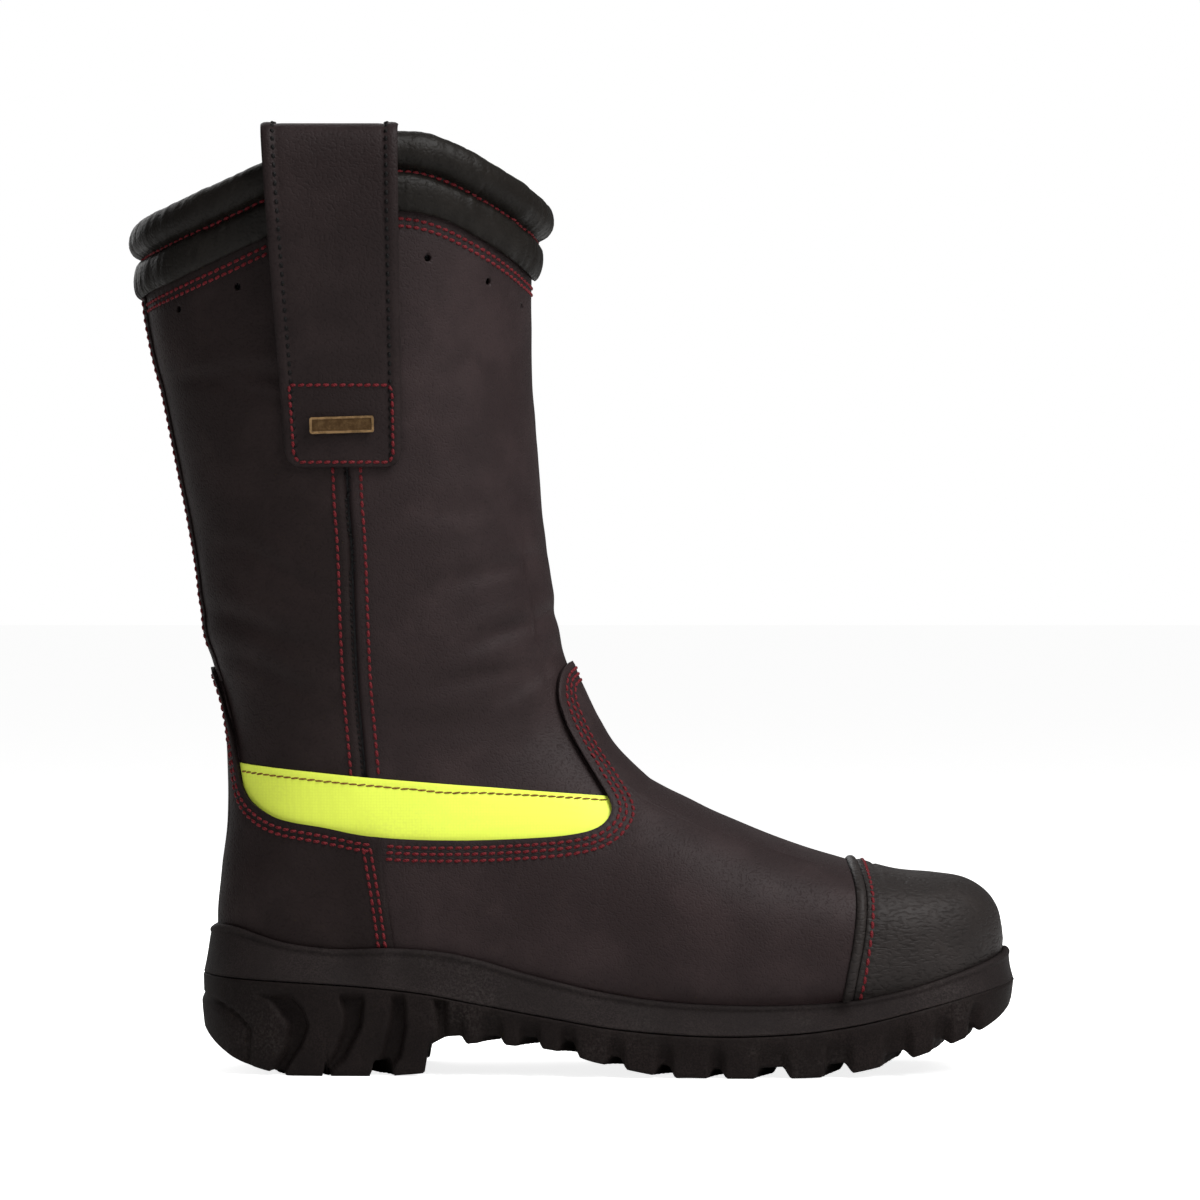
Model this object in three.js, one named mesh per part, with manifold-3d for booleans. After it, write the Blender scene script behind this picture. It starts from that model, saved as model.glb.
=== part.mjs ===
// A pull-on leather fire boot (right foot), as an assembly of its separate pieces.
// Millimetres. +Z is up, the toe points along +X, and the outer (lateral) side of the boot faces -Y.
// The origin is on the ground, under the middle of the boot's outline.
//
// The upper is laid out on one smooth surface, the "skin", which is the outside of the leg leather.
// Every layer of leather, steel, board and lining is a shell between two offsets from that skin,
// cut to its pattern piece by an outline drawn in side view.

import * as THREE from "three";
import { mergeVertices } from "three/addons/utils/BufferGeometryUtils.js";
import Module from "manifold-3d";

const wasm = await Module();
wasm.setup();

// ---------------------------------------------------------------- driving dimensions

const soleLength = 310; // over the tread unit
const bootHeight = 357; // ground to the top of the pull straps
const ballBreadth = 103; // across the lasted upper at the ball of the foot

const legLeather = 2.2; // thickness of the leg panels
const footLeather = 2; // thickness of the vamp and the heel counter cover
const guardLeather = 1.2; // coated leather over the toe
const liningCloth = 0.9;
const hiVisThickness = 0.4;
const seamBacking = 0.7;
const stiffenerWall = 1.6;
const toeCapWall = 1.8;
const boardThickness = 1.4;
const plateThickness = 0.8;
const footbedThickness = 5.5;
const strapThickness = 2.4;
const strapWidth = 50;
const collarSkin = 1.2;
const collarTuck = 6; // how far the collar's cover runs down inside the leg
const legTopRise = 3.4; // leg leather above the collar's sewing line

const layerGap = 0.3; // air between neighbouring layers
const slipGap = 0.15; // between the tape, the leg under it and the vamp that slides over it
const legTuck = 6; // how far the leg runs down inside the vamp and counter
const soleWall = 4.6; // rubber and foam outside the upper
const cupWall = 4; // wall of the tread unit around the midsole
const pocketFit = 0.4; // the footbed in the lining
const capLength = 58;

const aroundCount = 18; // facets around the leg
const alongCount = 20; // sections from toe to collar

// The outlines below are drawn for this size, and are stretched to the driving dimensions.
const drawn = { length: 310, height: 357, breadth: 103 };
const lengthScale = soleLength / drawn.length;
const heightScale = bootHeight / drawn.height;
const breadthScale = ballBreadth / drawn.breadth;
const inSideView = (points) => points.map(([x, z]) => [x * lengthScale, z * heightScale]);

// ---------------------------------------------------------------- layers, as offsets from the skin

const leg = { outer: 0, inner: -legLeather };
const hiVis = { inner: slipGap, outer: slipGap + hiVisThickness };
const foot = { inner: hiVis.outer + slipGap };
foot.outer = foot.inner + footLeather;
const guard = { inner: foot.outer + layerGap };
guard.outer = guard.inner + guardLeather;
const backing = { outer: leg.inner - layerGap };
backing.inner = backing.outer - seamBacking;
const legCloth = { outer: backing.inner - layerGap };
legCloth.inner = legCloth.outer - liningCloth;
const strip = { inner: leg.outer + layerGap, outer: leg.outer + layerGap + 1.6 };
const toeCap = { outer: foot.inner - layerGap };
toeCap.inner = toeCap.outer - toeCapWall;
const stiffener = { outer: foot.inner - layerGap };
stiffener.inner = stiffener.outer - stiffenerWall;
const board = { outer: foot.inner - layerGap };
board.inner = board.outer - boardThickness;
const plate = { outer: board.inner - layerGap };
plate.inner = plate.outer - plateThickness;
const footCloth = { outer: plate.inner - 2 * layerGap };
footCloth.inner = footCloth.outer - liningCloth;
const footbed = { outer: footCloth.inner - layerGap };
footbed.inner = footbed.outer - footbedThickness;

// ---------------------------------------------------------------- the skin

// Sections of the skin from the toe to the collar. Each is a ring in a plane square to the side view,
// from its low or rear point to its high or front one.
// [rear x, rear z, front x, front z, breadth to the outside, to the inside, widest place, roundness low, high]
const sections = [
  [159.2, 45, 159.2, 54, 6, 16, 0.5, 2.2, 2.2],
  [157.4, 40.5, 157.4, 60.5, 19, 28, 0.5, 2.5, 2.4],
  [153.5, 37.5, 153.5, 65.5, 27.5, 35.5, 0.48, 3, 2.6],
  [147, 34.8, 147, 69, 35, 42, 0.46, 3.4, 2.7],
  [137, 32, 137, 70.6, 41, 46.5, 0.44, 3.8, 2.7],
  [122, 28.6, 122, 72.2, 46.2, 49.6, 0.42, 4, 2.7],
  [102, 25, 102, 77.6, 50.2, 50.8, 0.4, 4, 2.6],
  [79, 22, 79, 84.7, 52.3, 50.2, 0.38, 4, 2.5],
  [54, 20.5, 54, 95.2, 52.5, 47.5, 0.36, 4, 2.4],
  [20, 21, 32, 105.8, 50, 42.5, 0.36, 3.8, 2.3],
  [-10, 23, 24.8, 110.6, 47, 38.5, 0.36, 3.6, 2.3],
  [-40, 26, 13.6, 122, 43.5, 37, 0.38, 3.4, 2.2],
  [-75, 28, 7.7, 131.6, 40.5, 37, 0.4, 3, 2.2],
  [-104, 29, 4.4, 138.4, 38.6, 37.2, 0.44, 2.7, 2.2],
  [-123, 32.5, 2, 143.8, 37.8, 37.4, 0.47, 2.4, 2.2],
  [-131, 45, -0.4, 149, 37.8, 37.8, 0.5, 2.2, 2.2],
  [-133, 59, -2, 153.4, 38.2, 38.2, 0.5, 2.2, 2.2],
  [-131.4, 75, -3.4, 157.4, 38.8, 38.8, 0.5, 2.1, 2.1],
  [-128.6, 97, -4.6, 162, 40.2, 40.2, 0.5, 2.1, 2.1],
  [-129.4, 121, -5.8, 168, 42, 42, 0.5, 2.1, 2.1],
  [-131.4, 138, -7.2, 176, 43.8, 43.8, 0.5, 2.1, 2.1],
  [-135.2, 151, -8.6, 186, 45.6, 45.6, 0.5, 2.1, 2.1],
  [-139.8, 166, -10.2, 198, 47.4, 47.4, 0.5, 2.1, 2.1],
  [-142.4, 184, -11.8, 212, 49.2, 49.2, 0.5, 2.1, 2.1],
  [-145.2, 204, -13.2, 228, 51, 51, 0.5, 2.1, 2.1],
  [-149.6, 226, -14.6, 246, 52.8, 52.8, 0.5, 2.1, 2.1],
  [-155, 252, -15.8, 265, 54.6, 54.6, 0.5, 2.1, 2.1],
  [-160.8, 277, -16.2, 284, 56.2, 56.2, 0.5, 2.1, 2.1],
  [-163.2, 293, -16.2, 299, 57.2, 57.2, 0.5, 2.1, 2.1],
  [-165.4, 316, -15.6, 320, 58, 58, 0.5, 2.1, 2.1],
  [-166.4, 340, -15, 344, 58.5, 58.5, 0.5, 2.1, 2.1],
];

const curveThrough = (points) => new THREE.CatmullRomCurve3(points, false, "catmullrom", 0.5);
const rearLine = curveThrough(
  sections.map((s) => new THREE.Vector3(s[0] * lengthScale, s[1] * heightScale, s[4] * breadthScale)),
);
const frontLine = curveThrough(
  sections.map((s) => new THREE.Vector3(s[2] * lengthScale, s[3] * heightScale, s[5] * breadthScale)),
);
const shapeLine = curveThrough(sections.map((s) => new THREE.Vector3(s[6], s[7], s[8])));

const signedPower = (value, exponent) => Math.sign(value) * Math.abs(value) ** exponent;

// A point of the skin: along runs from 0 at the toe to 1 above the collar, and turn goes round the
// section, from 0 at the front, by a quarter turn at the outer (-Y) side, to a half turn at the rear.
function skinPoint(along, turn) {
  const rear = rearLine.getPoint(along);
  const front = frontLine.getPoint(along);
  const shape = shapeLine.getPoint(along);
  const across = Math.cos(turn);
  const aside = Math.sin(turn);
  const roundness = across > 0 ? shape.z : shape.y;
  const reach = across > 0 ? 1 - shape.x : shape.x;
  const share = shape.x + reach * signedPower(across, 2 / roundness);
  const breadth = aside > 0 ? rear.z : front.z;
  return new THREE.Vector3(
    rear.x + (front.x - rear.x) * share,
    -breadth * signedPower(aside, 2 / roundness),
    rear.y + (front.y - rear.y) * share,
  );
}

function skinNormal(along, turn) {
  const step = 1e-3;
  const low = Math.max(along - step, 0);
  const high = Math.min(along + step, 1);
  const lengthwise = skinPoint(high, turn).sub(skinPoint(low, turn));
  const around = skinPoint(along, turn + step).sub(skinPoint(along, turn - step));
  return lengthwise.cross(around).normalize();
}

const offSkin = (along, turn, offset) =>
  skinPoint(along, turn).addScaledVector(skinNormal(along, turn), offset);

// Where the skin stands at a place given in side view, on the outer (-1) or the inner (+1) side.
function besideSkin(x, z, side) {
  let low = 0.25;
  let high = 1;
  for (let i = 0; i < 40; i++) {
    const middle = (low + high) / 2;
    const rear = rearLine.getPoint(middle);
    const front = frontLine.getPoint(middle);
    const below = (front.x - rear.x) * (z - rear.y) - (front.y - rear.y) * (x - rear.x) > 0;
    if (below) low = middle;
    else high = middle;
  }
  const rear = rearLine.getPoint(low);
  const front = frontLine.getPoint(low);
  const shape = shapeLine.getPoint(low);
  const share = THREE.MathUtils.clamp((x - rear.x) / (front.x - rear.x), 0.001, 0.999);
  const roundness = share > shape.x ? shape.z : shape.y;
  const reach = share > shape.x ? 1 - shape.x : shape.x;
  const across = signedPower((share - shape.x) / reach, roundness / 2);
  const turn = side < 0 ? Math.acos(across) : 2 * Math.PI - Math.acos(across);
  return { along: low, turn, point: skinPoint(low, turn), normal: skinNormal(low, turn) };
}

// ---------------------------------------------------------------- solids

function solidOf(geometry) {
  geometry.deleteAttribute("normal");
  geometry.deleteAttribute("uv");
  const merged = mergeVertices(geometry, 1e-4);
  return new wasm.Manifold(
    new wasm.Mesh({
      numProp: 3,
      vertProperties: new Float32Array(merged.attributes.position.array),
      triVerts: new Uint32Array(merged.index.array),
    }),
  );
}

function geometryOf(solid) {
  const mesh = solid.getMesh();
  const geometry = new THREE.BufferGeometry();
  geometry.setAttribute("position", new THREE.BufferAttribute(mesh.vertProperties, 3));
  geometry.setIndex(new THREE.BufferAttribute(mesh.triVerts, 1));
  return geometry;
}

const isInsideOut = (positions, faces) => {
  const at = (i) => new THREE.Vector3().fromArray(positions, i * 3);
  let volume = 0;
  for (let i = 0; i < faces.length; i += 3) {
    volume += at(faces[i]).dot(at(faces[i + 1]).cross(at(faces[i + 2])));
  }
  return volume < 0;
};

// A closed surface through rings of points, each of an even number. An open row of rings is laced shut at its ends.
function loft(rings, closed = false) {
  const count = rings[0].length;
  const positions = rings.flat().flatMap((p) => [p.x, p.y, p.z]);
  const faces = [];
  const rows = closed ? rings.length : rings.length - 1;
  for (let row = 0; row < rows; row++) {
    const next = (row + 1) % rings.length;
    for (let i = 0; i < count; i++) {
      const a = row * count + i;
      const b = row * count + ((i + 1) % count);
      const c = next * count + i;
      const d = next * count + ((i + 1) % count);
      faces.push(a, b, d, a, d, c);
    }
  }
  const laces = closed ? [] : [[0, true], [rings.length - 1, false]];
  for (const [row, flip] of laces) {
    for (let i = 0; i < count / 2 - 1; i++) {
      const [a, b] = [row * count + i, row * count + i + 1];
      const [c, d] = [row * count + count - 1 - i, row * count + count - 2 - i];
      faces.push(...(flip ? [b, a, c, b, c, d] : [a, b, c, b, d, c]));
    }
  }
  const geometry = new THREE.BufferGeometry();
  geometry.setAttribute("position", new THREE.Float32BufferAttribute(positions, 3));
  geometry.setIndex(isInsideOut(positions, faces) ? faces.toReversed() : faces);
  return solidOf(geometry);
}

const upright = (geometry, y) => geometry.rotateX(Math.PI / 2).translate(0, y, 0);
const wide = 160;

// A solid as drawn in side view, from one y to the other.
function fromSide(points, low = -wide, high = wide) {
  const shape = new THREE.Shape(points.map(([x, z]) => new THREE.Vector2(x, z)));
  const geometry = new THREE.ExtrudeGeometry(shape, { depth: high - low, bevelEnabled: false });
  return solidOf(upright(geometry, high));
}

// A solid as drawn in plan, from one z to the other.
function fromAbove(points, low, high) {
  const shape = new THREE.Shape(points.map(([x, y]) => new THREE.Vector2(x, y)));
  const geometry = new THREE.ExtrudeGeometry(shape, { depth: high - low, bevelEnabled: false });
  return solidOf(geometry.translate(0, 0, low));
}

const box = (low, high) =>
  solidOf(
    new THREE.BoxGeometry(...high.map((v, i) => v - low[i]))
      .translate(...high.map((v, i) => (v + low[i]) / 2)),
  );

const smooth = (points, count) => {
  const curve = new THREE.SplineCurve(points.map(([x, y]) => new THREE.Vector2(x, y)));
  return curve.getPoints(count).map((p) => [p.x, p.y]);
};

// Points moved square to their line, to the left of its direction.
function moved(points, distance) {
  return points.map((p, i) => {
    const before = points[Math.max(i - 1, 0)];
    const after = points[Math.min(i + 1, points.length - 1)];
    const run = new THREE.Vector2(after[0] - before[0], after[1] - before[1]).normalize();
    return [p[0] - run.y * distance, p[1] + run.x * distance];
  });
}

const solidAt = new Map();
function skinSolid(offset) {
  const key = offset.toFixed(3);
  if (!solidAt.has(key)) {
    const rings = [];
    for (let row = 0; row <= alongCount; row++) {
      const along = (row / alongCount) ** 1.05;
      const ring = [];
      for (let i = 0; i < aroundCount; i++) ring.push(offSkin(along, (2 * Math.PI * i) / aroundCount, offset));
      rings.push(ring);
    }
    const nose = rings[0].map((p) => new THREE.Vector3(p.x, p.y, p.z));
    const middle = nose.reduce((sum, p) => sum.add(p), new THREE.Vector3()).divideScalar(nose.length);
    for (const p of nose) p.lerp(middle, 0.45).setX(p.x + Math.max(offset, 0) * 0.35 + 0.6);
    solidAt.set(key, loft([nose, ...rings]));
  }
  return solidAt.get(key);
}

const shell = ({ inner, outer }) => skinSolid(outer).subtract(skinSolid(inner));

// ---------------------------------------------------------------- outlines in side view

// The edge of the vamp and counter around the leg, from the tip of the tongue, down and round the
// ankle, to the tip of the counter at the rear.
const legOpening = smooth(
  inSideView([
    [2, 158], [-5.2, 152], [-7, 142.5], [-4.4, 133], [1, 122.5], [7, 112.5], [13, 102.5], [13.6, 97],
    [8.4, 92], [-4, 89.4], [-28, 88.2], [-51, 88.2], [-73, 89.6], [-93, 93], [-110, 96.2], [-119.4, 101.6],
    [-124, 109.5], [-126, 119], [-128.8, 130], [-132.6, 141], [-136.6, 150], [-144, 160],
  ]),
  34,
);
const farUp = 400 * heightScale;
const farOut = 260 * lengthScale;
const aboveOpening = (margin) => {
  const edge = moved(legOpening, -margin);
  return [...edge, [-farOut, edge.at(-1)[1]], [-farOut, farUp], [farOut, farUp], [farOut, edge[0][1]]];
};

// The double seam where the counter cover lies against the vamp.
const counterSeam = inSideView([[-80, 190], [-76, 96], [-73.4, 88], [-66.5, 46], [-64, 0]]);
const behind = (line) => [...line, [-farOut, line.at(-1)[1]], [-farOut, line[0][1]]];

// The rear edge of the toe guard.
const guardEdge = smooth(inSideView([[101, 100], [102.6, 81], [105.4, 66], [104.2, 50], [99.4, 27], [96, 14]]), 10);

// The closed seam up the side of the leg, hidden above by the pull strap.
const sideSeam = smooth(inSideView([[-77, 80], [-78.5, 113.8], [-81.4, 150], [-83, 197.8], [-84.6, 226.4], [-87.4, 330]]), 10);

// The sewing line under the padded collar.
const collarLine = smooth(
  inSideView([
    [-176, 285.5], [-162.4, 292.2], [-150.2, 297], [-131, 305], [-112, 313.4], [-89, 320.8], [-66, 322.8],
    [-51, 320.2], [-36, 313], [-24.2, 305.6], [-13.9, 297], [-4, 287],
  ]),
  40,
);
function collarHeight(x) {
  const next = collarLine.findIndex((p) => p[0] > x);
  const [a, b] = [collarLine[Math.max(next - 1, 0)], collarLine[Math.max(next, 1)]];
  return a[1] + ((b[1] - a[1]) * (x - a[0])) / (b[0] - a[0]);
}
const underCollar = (rise) => {
  const line = collarLine.map(([x, z]) => [x, z + rise]);
  return [[-farOut, -10], [farOut, -10], [farOut, line.at(-1)[1]], ...line.toReversed(), [-farOut, line[0][1]]];
};

// Under the foot, from toe to heel: the bottom of the skin.
const footBottom = smooth(
  inSideView([
    [175, 44], [160, 38.6], [147, 34.8], [137, 32], [122, 28.6], [102, 25], [79, 22], [54, 20.5], [20, 21],
    [-10, 23], [-40, 26], [-75, 28], [-104, 29], [-150, 29.5],
  ]),
  20,
);
// Everything between two heights above the bottom of the skin.
const underfoot = (low, high) => {
  const raise = (rise) => footBottom.map(([x, z]) => [x, z + rise]);
  return fromSide([...raise(low), ...raise(high).toReversed()]);
};
const overBottom = (low) => underfoot(low, farUp);

// ---------------------------------------------------------------- upper: the foot

const leatherFoot = shell(foot).subtract(fromSide(aboveOpening(0)));
const lastingMargin = 17;
function footprint(margin) {
  const places = sections.slice(0, 15).map((s) => {
    const x = s[0] + 0.2 * (s[2] - s[0]);
    return { x: x * lengthScale, out: s[4] * breadthScale, in: s[5] * breadthScale };
  });
  const heel = [[-118, 0.84], [-128.5, 0.53]].map(([x, share]) => ({
    x: x * lengthScale,
    out: places.at(-1).out * share,
    in: places.at(-1).in * share,
  }));
  const rows = [...places, ...heel];
  const tip = [160.4 * lengthScale, (rows[0].in - rows[0].out) / 2];
  const back = [-133.4 * lengthScale, 0];
  const ring = [
    tip,
    ...rows.map((p) => [p.x, p.in]),
    back,
    ...rows.toReversed().map((p) => [p.x, -p.out]),
    tip,
  ];
  return moved(smooth(ring, 46), -margin).slice(0, -1);
}
const counterRegion = fromSide(behind(moved(counterSeam, -layerGap / 2)));
const behindVamp = fromSide(behind(moved(counterSeam, layerGap / 2)));
const bottomWindow = fromAbove(footprint(-lastingMargin), 0, 60 * heightScale).intersect(underfoot(-8, 6));

const vamp = leatherFoot.subtract(behindVamp).subtract(bottomWindow);
const counterCover = leatherFoot.intersect(counterRegion).subtract(bottomWindow);

const guardArea = fromSide([
  ...guardEdge,
  [farOut, guardEdge.at(-1)[1]],
  [farOut, guardEdge[0][1]],
]);
const guardDepth = 6; // how far the guard reaches down behind the sole wall
const edgeBand = 3.2; // the folded strip along the guard's rear edge
const guardBand = fromSide([...guardEdge, ...moved(guardEdge, edgeBand).toReversed()]);
const guardRest = fromSide([
  ...moved(guardEdge, edgeBand + layerGap),
  [farOut, guardEdge.at(-1)[1]],
  [farOut, guardEdge[0][1]],
]);

// ---------------------------------------------------------------- sole

const foxingTop = smooth(
  inSideView([
    [-146, 51], [-139.6, 53], [-134.2, 55.8], [-123.5, 52.6], [-108, 49.2], [-89, 47.4], [-70, 48], [-51, 46.8],
    [-35.7, 43.8], [-20.4, 39.3], [-5, 35.4], [10, 32], [29, 29], [48.3, 27.5], [71.2, 27], [90.3, 27.5],
    [105.6, 28.8], [124.6, 32.4], [140, 36.8], [155, 42.2], [164, 46.4], [172, 49],
  ]),
  24,
);
const partingLine = smooth(
  inSideView([
    [-146, 37.2], [-118, 35.6], [-86, 33.8], [-59, 31.2], [-37.6, 27.4], [-10.9, 22.6], [17, 18], [49.6, 15.6],
    [80, 16.2], [104.4, 19.2], [128.8, 24.8], [153.2, 31.2], [172, 36.4],
  ]),
  16,
);
const treadLine = [
  ...smooth(inSideView([[-146, 27], [-142, 19.5], [-135.5, 11.4], [-125, 4.6], [-112, 0.9], [-104, 0]]), 8),
  ...inSideView([[-50.4, 0], [-49.2, 14.4], [-2, 14.4]]),
  ...smooth(inSideView([[1.6, 6.6], [14, 4.4], [26, 1.8], [36, 0]]), 4),
  ...smooth(inSideView([[98, 0], [108, 1.8], [122, 5.4], [137, 10.2], [150, 15.2], [161, 19.6], [166.5, 26], [172, 34]]), 9),
];
const cupFloor = smooth(
  inSideView([
    [-146, 15], [-110, 14.2], [-75, 14.4], [-52, 17.6], [-20, 17.6], [5, 13.6], [36, 9.4], [80, 9.8], [102, 12],
    [122, 15.8], [140, 21.4], [156, 27], [172, 32],
  ]),
  14,
);
const between = (low, high) => fromSide([...low, ...high.toReversed()]);
const raised = (line, rise) => line.map(([x, z]) => [x, z + rise]);
const soleMargin = foot.outer + layerGap + soleWall;
const soleBlock = fromAbove(footprint(soleMargin), -5, 80 * heightScale);
const cupBlock = fromAbove(footprint(soleMargin - cupWall), -5, 80 * heightScale);
const coreBlock = fromAbove(footprint(soleMargin - cupWall - layerGap), -5, 80 * heightScale);

const upperRoom = skinSolid(foot.outer + layerGap).add(
  skinSolid(guard.outer + layerGap).intersect(box([95 * lengthScale, -wide, 0], [farOut, wide, farUp])),
);
const midsole = soleBlock
  .intersect(between(raised(partingLine, layerGap), foxingTop))
  .add(coreBlock.intersect(between(raised(cupFloor, layerGap), raised(partingLine, 4))))
  .subtract(upperRoom);

// Grooves between the lugs: [start x, width, top z], right across the tread.
const grooveDepth = 4.6;
const forefootGrooves = [
  [14, 4.4, 9.4], [31.6, 4.6, 6.6], [53, 4.2, 4.6], [73.4, 5.4, 4.6], [98, 4.4, 5], [119.4, 4.6, 8.8],
  [136, 4, 13], [148.4, 3.6, 17],
];
const heelGrooves = [[-108.5, 6.5, 5.4], [-90.6, 5.6, 5.4], [-72.6, 6.2, 5.4]];
const archRibs = [[-41, 4], [-28, 5], [-14.5, 6]];
const forefootLimit = 1 * lengthScale;

function grooves() {
  const cut = [];
  for (const [x, width, top] of [...forefootGrooves, ...heelGrooves]) {
    const start = x * lengthScale;
    cut.push(box([start, -wide, -1], [start + width, wide, top * heightScale]));
  }
  const channel = 5; // along the middle of the tread
  cut.push(box([6 * lengthScale, -channel / 2, -1], [140 * lengthScale, channel / 2, grooveDepth * heightScale]));
  return wasm.Manifold.union(cut);
}

let outsole = soleBlock
  .intersect(between(treadLine, partingLine))
  .subtract(cupBlock.intersect(between(cupFloor, raised(partingLine, 40))))
  .subtract(grooves());
for (const [x, width] of archRibs) {
  const start = x * lengthScale;
  const rib = box([start, -wide, 11.4 * heightScale], [start + width, wide, 15 * heightScale]);
  outsole = outsole.add(rib.intersect(soleBlock));
}

const shankSize = { length: 105, width: 16, thickness: 1.2 };
const shankMiddle = -36 * lengthScale;
const shankLow = 0.7 - foot.outer;
const shank = underfoot(shankLow, shankLow + shankSize.thickness).intersect(
  box(
    [shankMiddle - shankSize.length / 2, -shankSize.width / 2 - 2, 0],
    [shankMiddle + shankSize.length / 2, shankSize.width / 2 - 2, 80 * heightScale],
  ),
);

const insoleBoard = skinSolid(board.outer).intersect(underfoot(-6, -board.inner));
const puncturePlate = skinSolid(board.outer).intersect(underfoot(-plate.outer, -plate.inner));
const capFoot = -plate.inner + layerGap;
const toeCapSteel = shell(toeCap)
  .intersect(overBottom(capFoot))
  .intersect(box([(160 - capLength) * lengthScale, -wide, 0], [farOut, wide, farUp]));
const stiffenerTop = inSideView([
  [-150, 128], [-131, 126], [-122, 96], [-108, 84], [-78, 76], [-58, 52], [-52, 20], [-150, 20],
]);
const heelStiffener = shell(stiffener)
  .intersect(fromSide(stiffenerTop))
  .intersect(overBottom(capFoot))
  .subtract(fromSide(aboveOpening(-legTuck - 2)));

// The foot lining stops short of the leg, and leaves it room to swing.
const footRoomEdge = smooth(
  inSideView([
    [34, 150], [30, 126], [34, 108], [36, 94], [34, 80], [22, 70], [-4, 67], [-28, 66], [-51, 67], [-73, 72],
    [-93, 80], [-110, 86], [-120, 93], [-128, 104], [-132, 122], [-146, 128],
  ]),
  30,
);
const footRoom = [
  ...footRoomEdge,
  [-farOut, footRoomEdge.at(-1)[1]],
  [-farOut, farUp],
  [farOut, farUp],
  [farOut, footRoomEdge[0][1]],
];
const footLining = shell(footCloth).subtract(fromSide(footRoom));

const footbedPad = skinSolid(footCloth.inner - pocketFit).intersect(underfoot(-footbed.outer, -footbed.inner));

// ---------------------------------------------------------------- upper: the leg

const legArea = fromSide(aboveOpening(-legTuck)).intersect(fromSide(underCollar(legTopRise)));
const legShell = shell(leg).intersect(legArea);
const frontOfSeam = (gap) => {
  const line = moved(sideSeam, gap);
  return fromSide([...line, [farOut, line.at(-1)[1]], [farOut, line[0][1]]]);
};
const halfSeam = layerGap / 2;
const outerSide = box([-farOut, -wide, -10], [farOut, -halfSeam, farUp]);
const innerSide = box([-farOut, halfSeam, -10], [farOut, wide, farUp]);

const ventRadius = 1.3;
const vents = [[-148.6, 288.2], [-125.8, 295.9], [-54.4, 306.6], [-31.9, 298.5], [-19.4, 289.8]];
function ventPins() {
  const pins = [];
  for (const side of [-1, 1]) {
    for (const [x, z] of inSideView(vents)) {
      const at = besideSkin(x, z, side);
      const turned = new THREE.Quaternion().setFromUnitVectors(new THREE.Vector3(0, 1, 0), at.normal);
      const pin = new THREE.CylinderGeometry(ventRadius, ventRadius, 9, 8);
      pins.push(solidOf(pin.applyQuaternion(turned).translate(at.point.x, at.point.y, at.point.z)));
    }
  }
  return wasm.Manifold.union(pins);
}

const legPierced = legShell.subtract(ventPins());
const frontPanel = legPierced.intersect(frontOfSeam(-halfSeam));
const rearShell = legPierced.subtract(frontOfSeam(halfSeam));
const rearOuter = rearShell.intersect(outerSide);
const rearInner = rearShell.intersect(innerSide);

const backStripWidth = 20;
const backStrip = shell(strip)
  .intersect(legArea)
  .intersect(fromSide(underCollar(2.6)))
  .intersect(box([-farOut, -backStripWidth / 2, 0], [-90 * lengthScale, backStripWidth / 2, farUp]))
  .intersect(box([-farOut, -wide, 160.5 * heightScale], [farOut, wide, farUp]));

const collarDrop = 8; // linings end this far below the collar's sewing line
const backingWidth = 18;
const backingStrip = shell(backing)
  .intersect(frontOfSeam(backingWidth / 2))
  .subtract(frontOfSeam(-backingWidth / 2))
  .intersect(fromSide(aboveOpening(0)))
  .intersect(fromSide(underCollar(-collarDrop)));
const legLining = shell(legCloth)
  .intersect(fromSide(aboveOpening(-legTuck + 1)))
  .intersect(fromSide(underCollar(-collarDrop)));

// The high-visibility tape fills the foot of the leg panels, between its own top edge and the opening.
const tapeTop = smooth(inSideView([[-146, 121], [-124.4, 116.8], [-89, 113], [-55, 110], [14, 104.4], [30, 103]]), 16);
const tapeArea = fromSide([...tapeTop, [farOut, tapeTop.at(-1)[1]], [farOut, 0], [-farOut, 0], [-farOut, tapeTop[0][1]]]);
const tapeLap = 4; // how far the tape runs on under the vamp
const tapeShell = shell(hiVis).intersect(tapeArea).intersect(fromSide(aboveOpening(-tapeLap)));
const tapeEnds = box([-127 * lengthScale, -wide, 0], [18 * lengthScale, wide, farUp]);

// ---------------------------------------------------------------- collar

const collarLean = 0.07; // the collar stands upright on a leg that leans back
const collarRingCount = 18;
// The outside of the cover, from its edge inside the leg, over both rolls, to its edge on the lining.
const collarProfile = [
  [leg.inner - 0.1, -collarTuck], [leg.inner - 0.1, legTopRise + 0.6], [1, 4.9], [3.8, 9.6],
  [1.5, 15.6], [5.6, 19], [6.4, 25], [2.4, 30.4], [-5.6, 30.8], [-11.4, 26], [-9.8, 15.6],
  [-9.6, 7], [legCloth.inner - layerGap - collarSkin, -14],
];

// A closed ring around the leg, with a section given as [outwards, upwards] from the sewing line.
function aroundCollar(profile) {
  const rings = [];
  for (let i = 0; i < collarRingCount; i++) {
    const turn = (2 * Math.PI * i) / collarRingCount;
    let low = 0.6;
    let high = 1;
    for (let step = 0; step < 30; step++) {
      const middle = (low + high) / 2;
      const p = skinPoint(middle, turn);
      if (p.z < collarHeight(p.x)) low = middle;
      else high = middle;
    }
    const out = skinNormal(low, turn).setZ(0).normalize();
    const line = skinPoint(low, turn).z;
    const climb = 0.01;
    const perHeight = climb / (skinPoint(low, turn).z - skinPoint(low - climb, turn).z);
    rings.push(
      profile.map(([u, v]) => {
        const wallRise = Math.min(v, legTopRise);
        const at = skinPoint(low + perHeight * wallRise, turn);
        const lean = collarLean * Math.max(v - legTopRise, 0);
        return new THREE.Vector3(at.x + out.x * u + lean, at.y + out.y * u, line + v);
      }),
    );
  }
  return loft(rings, true);
}

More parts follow.
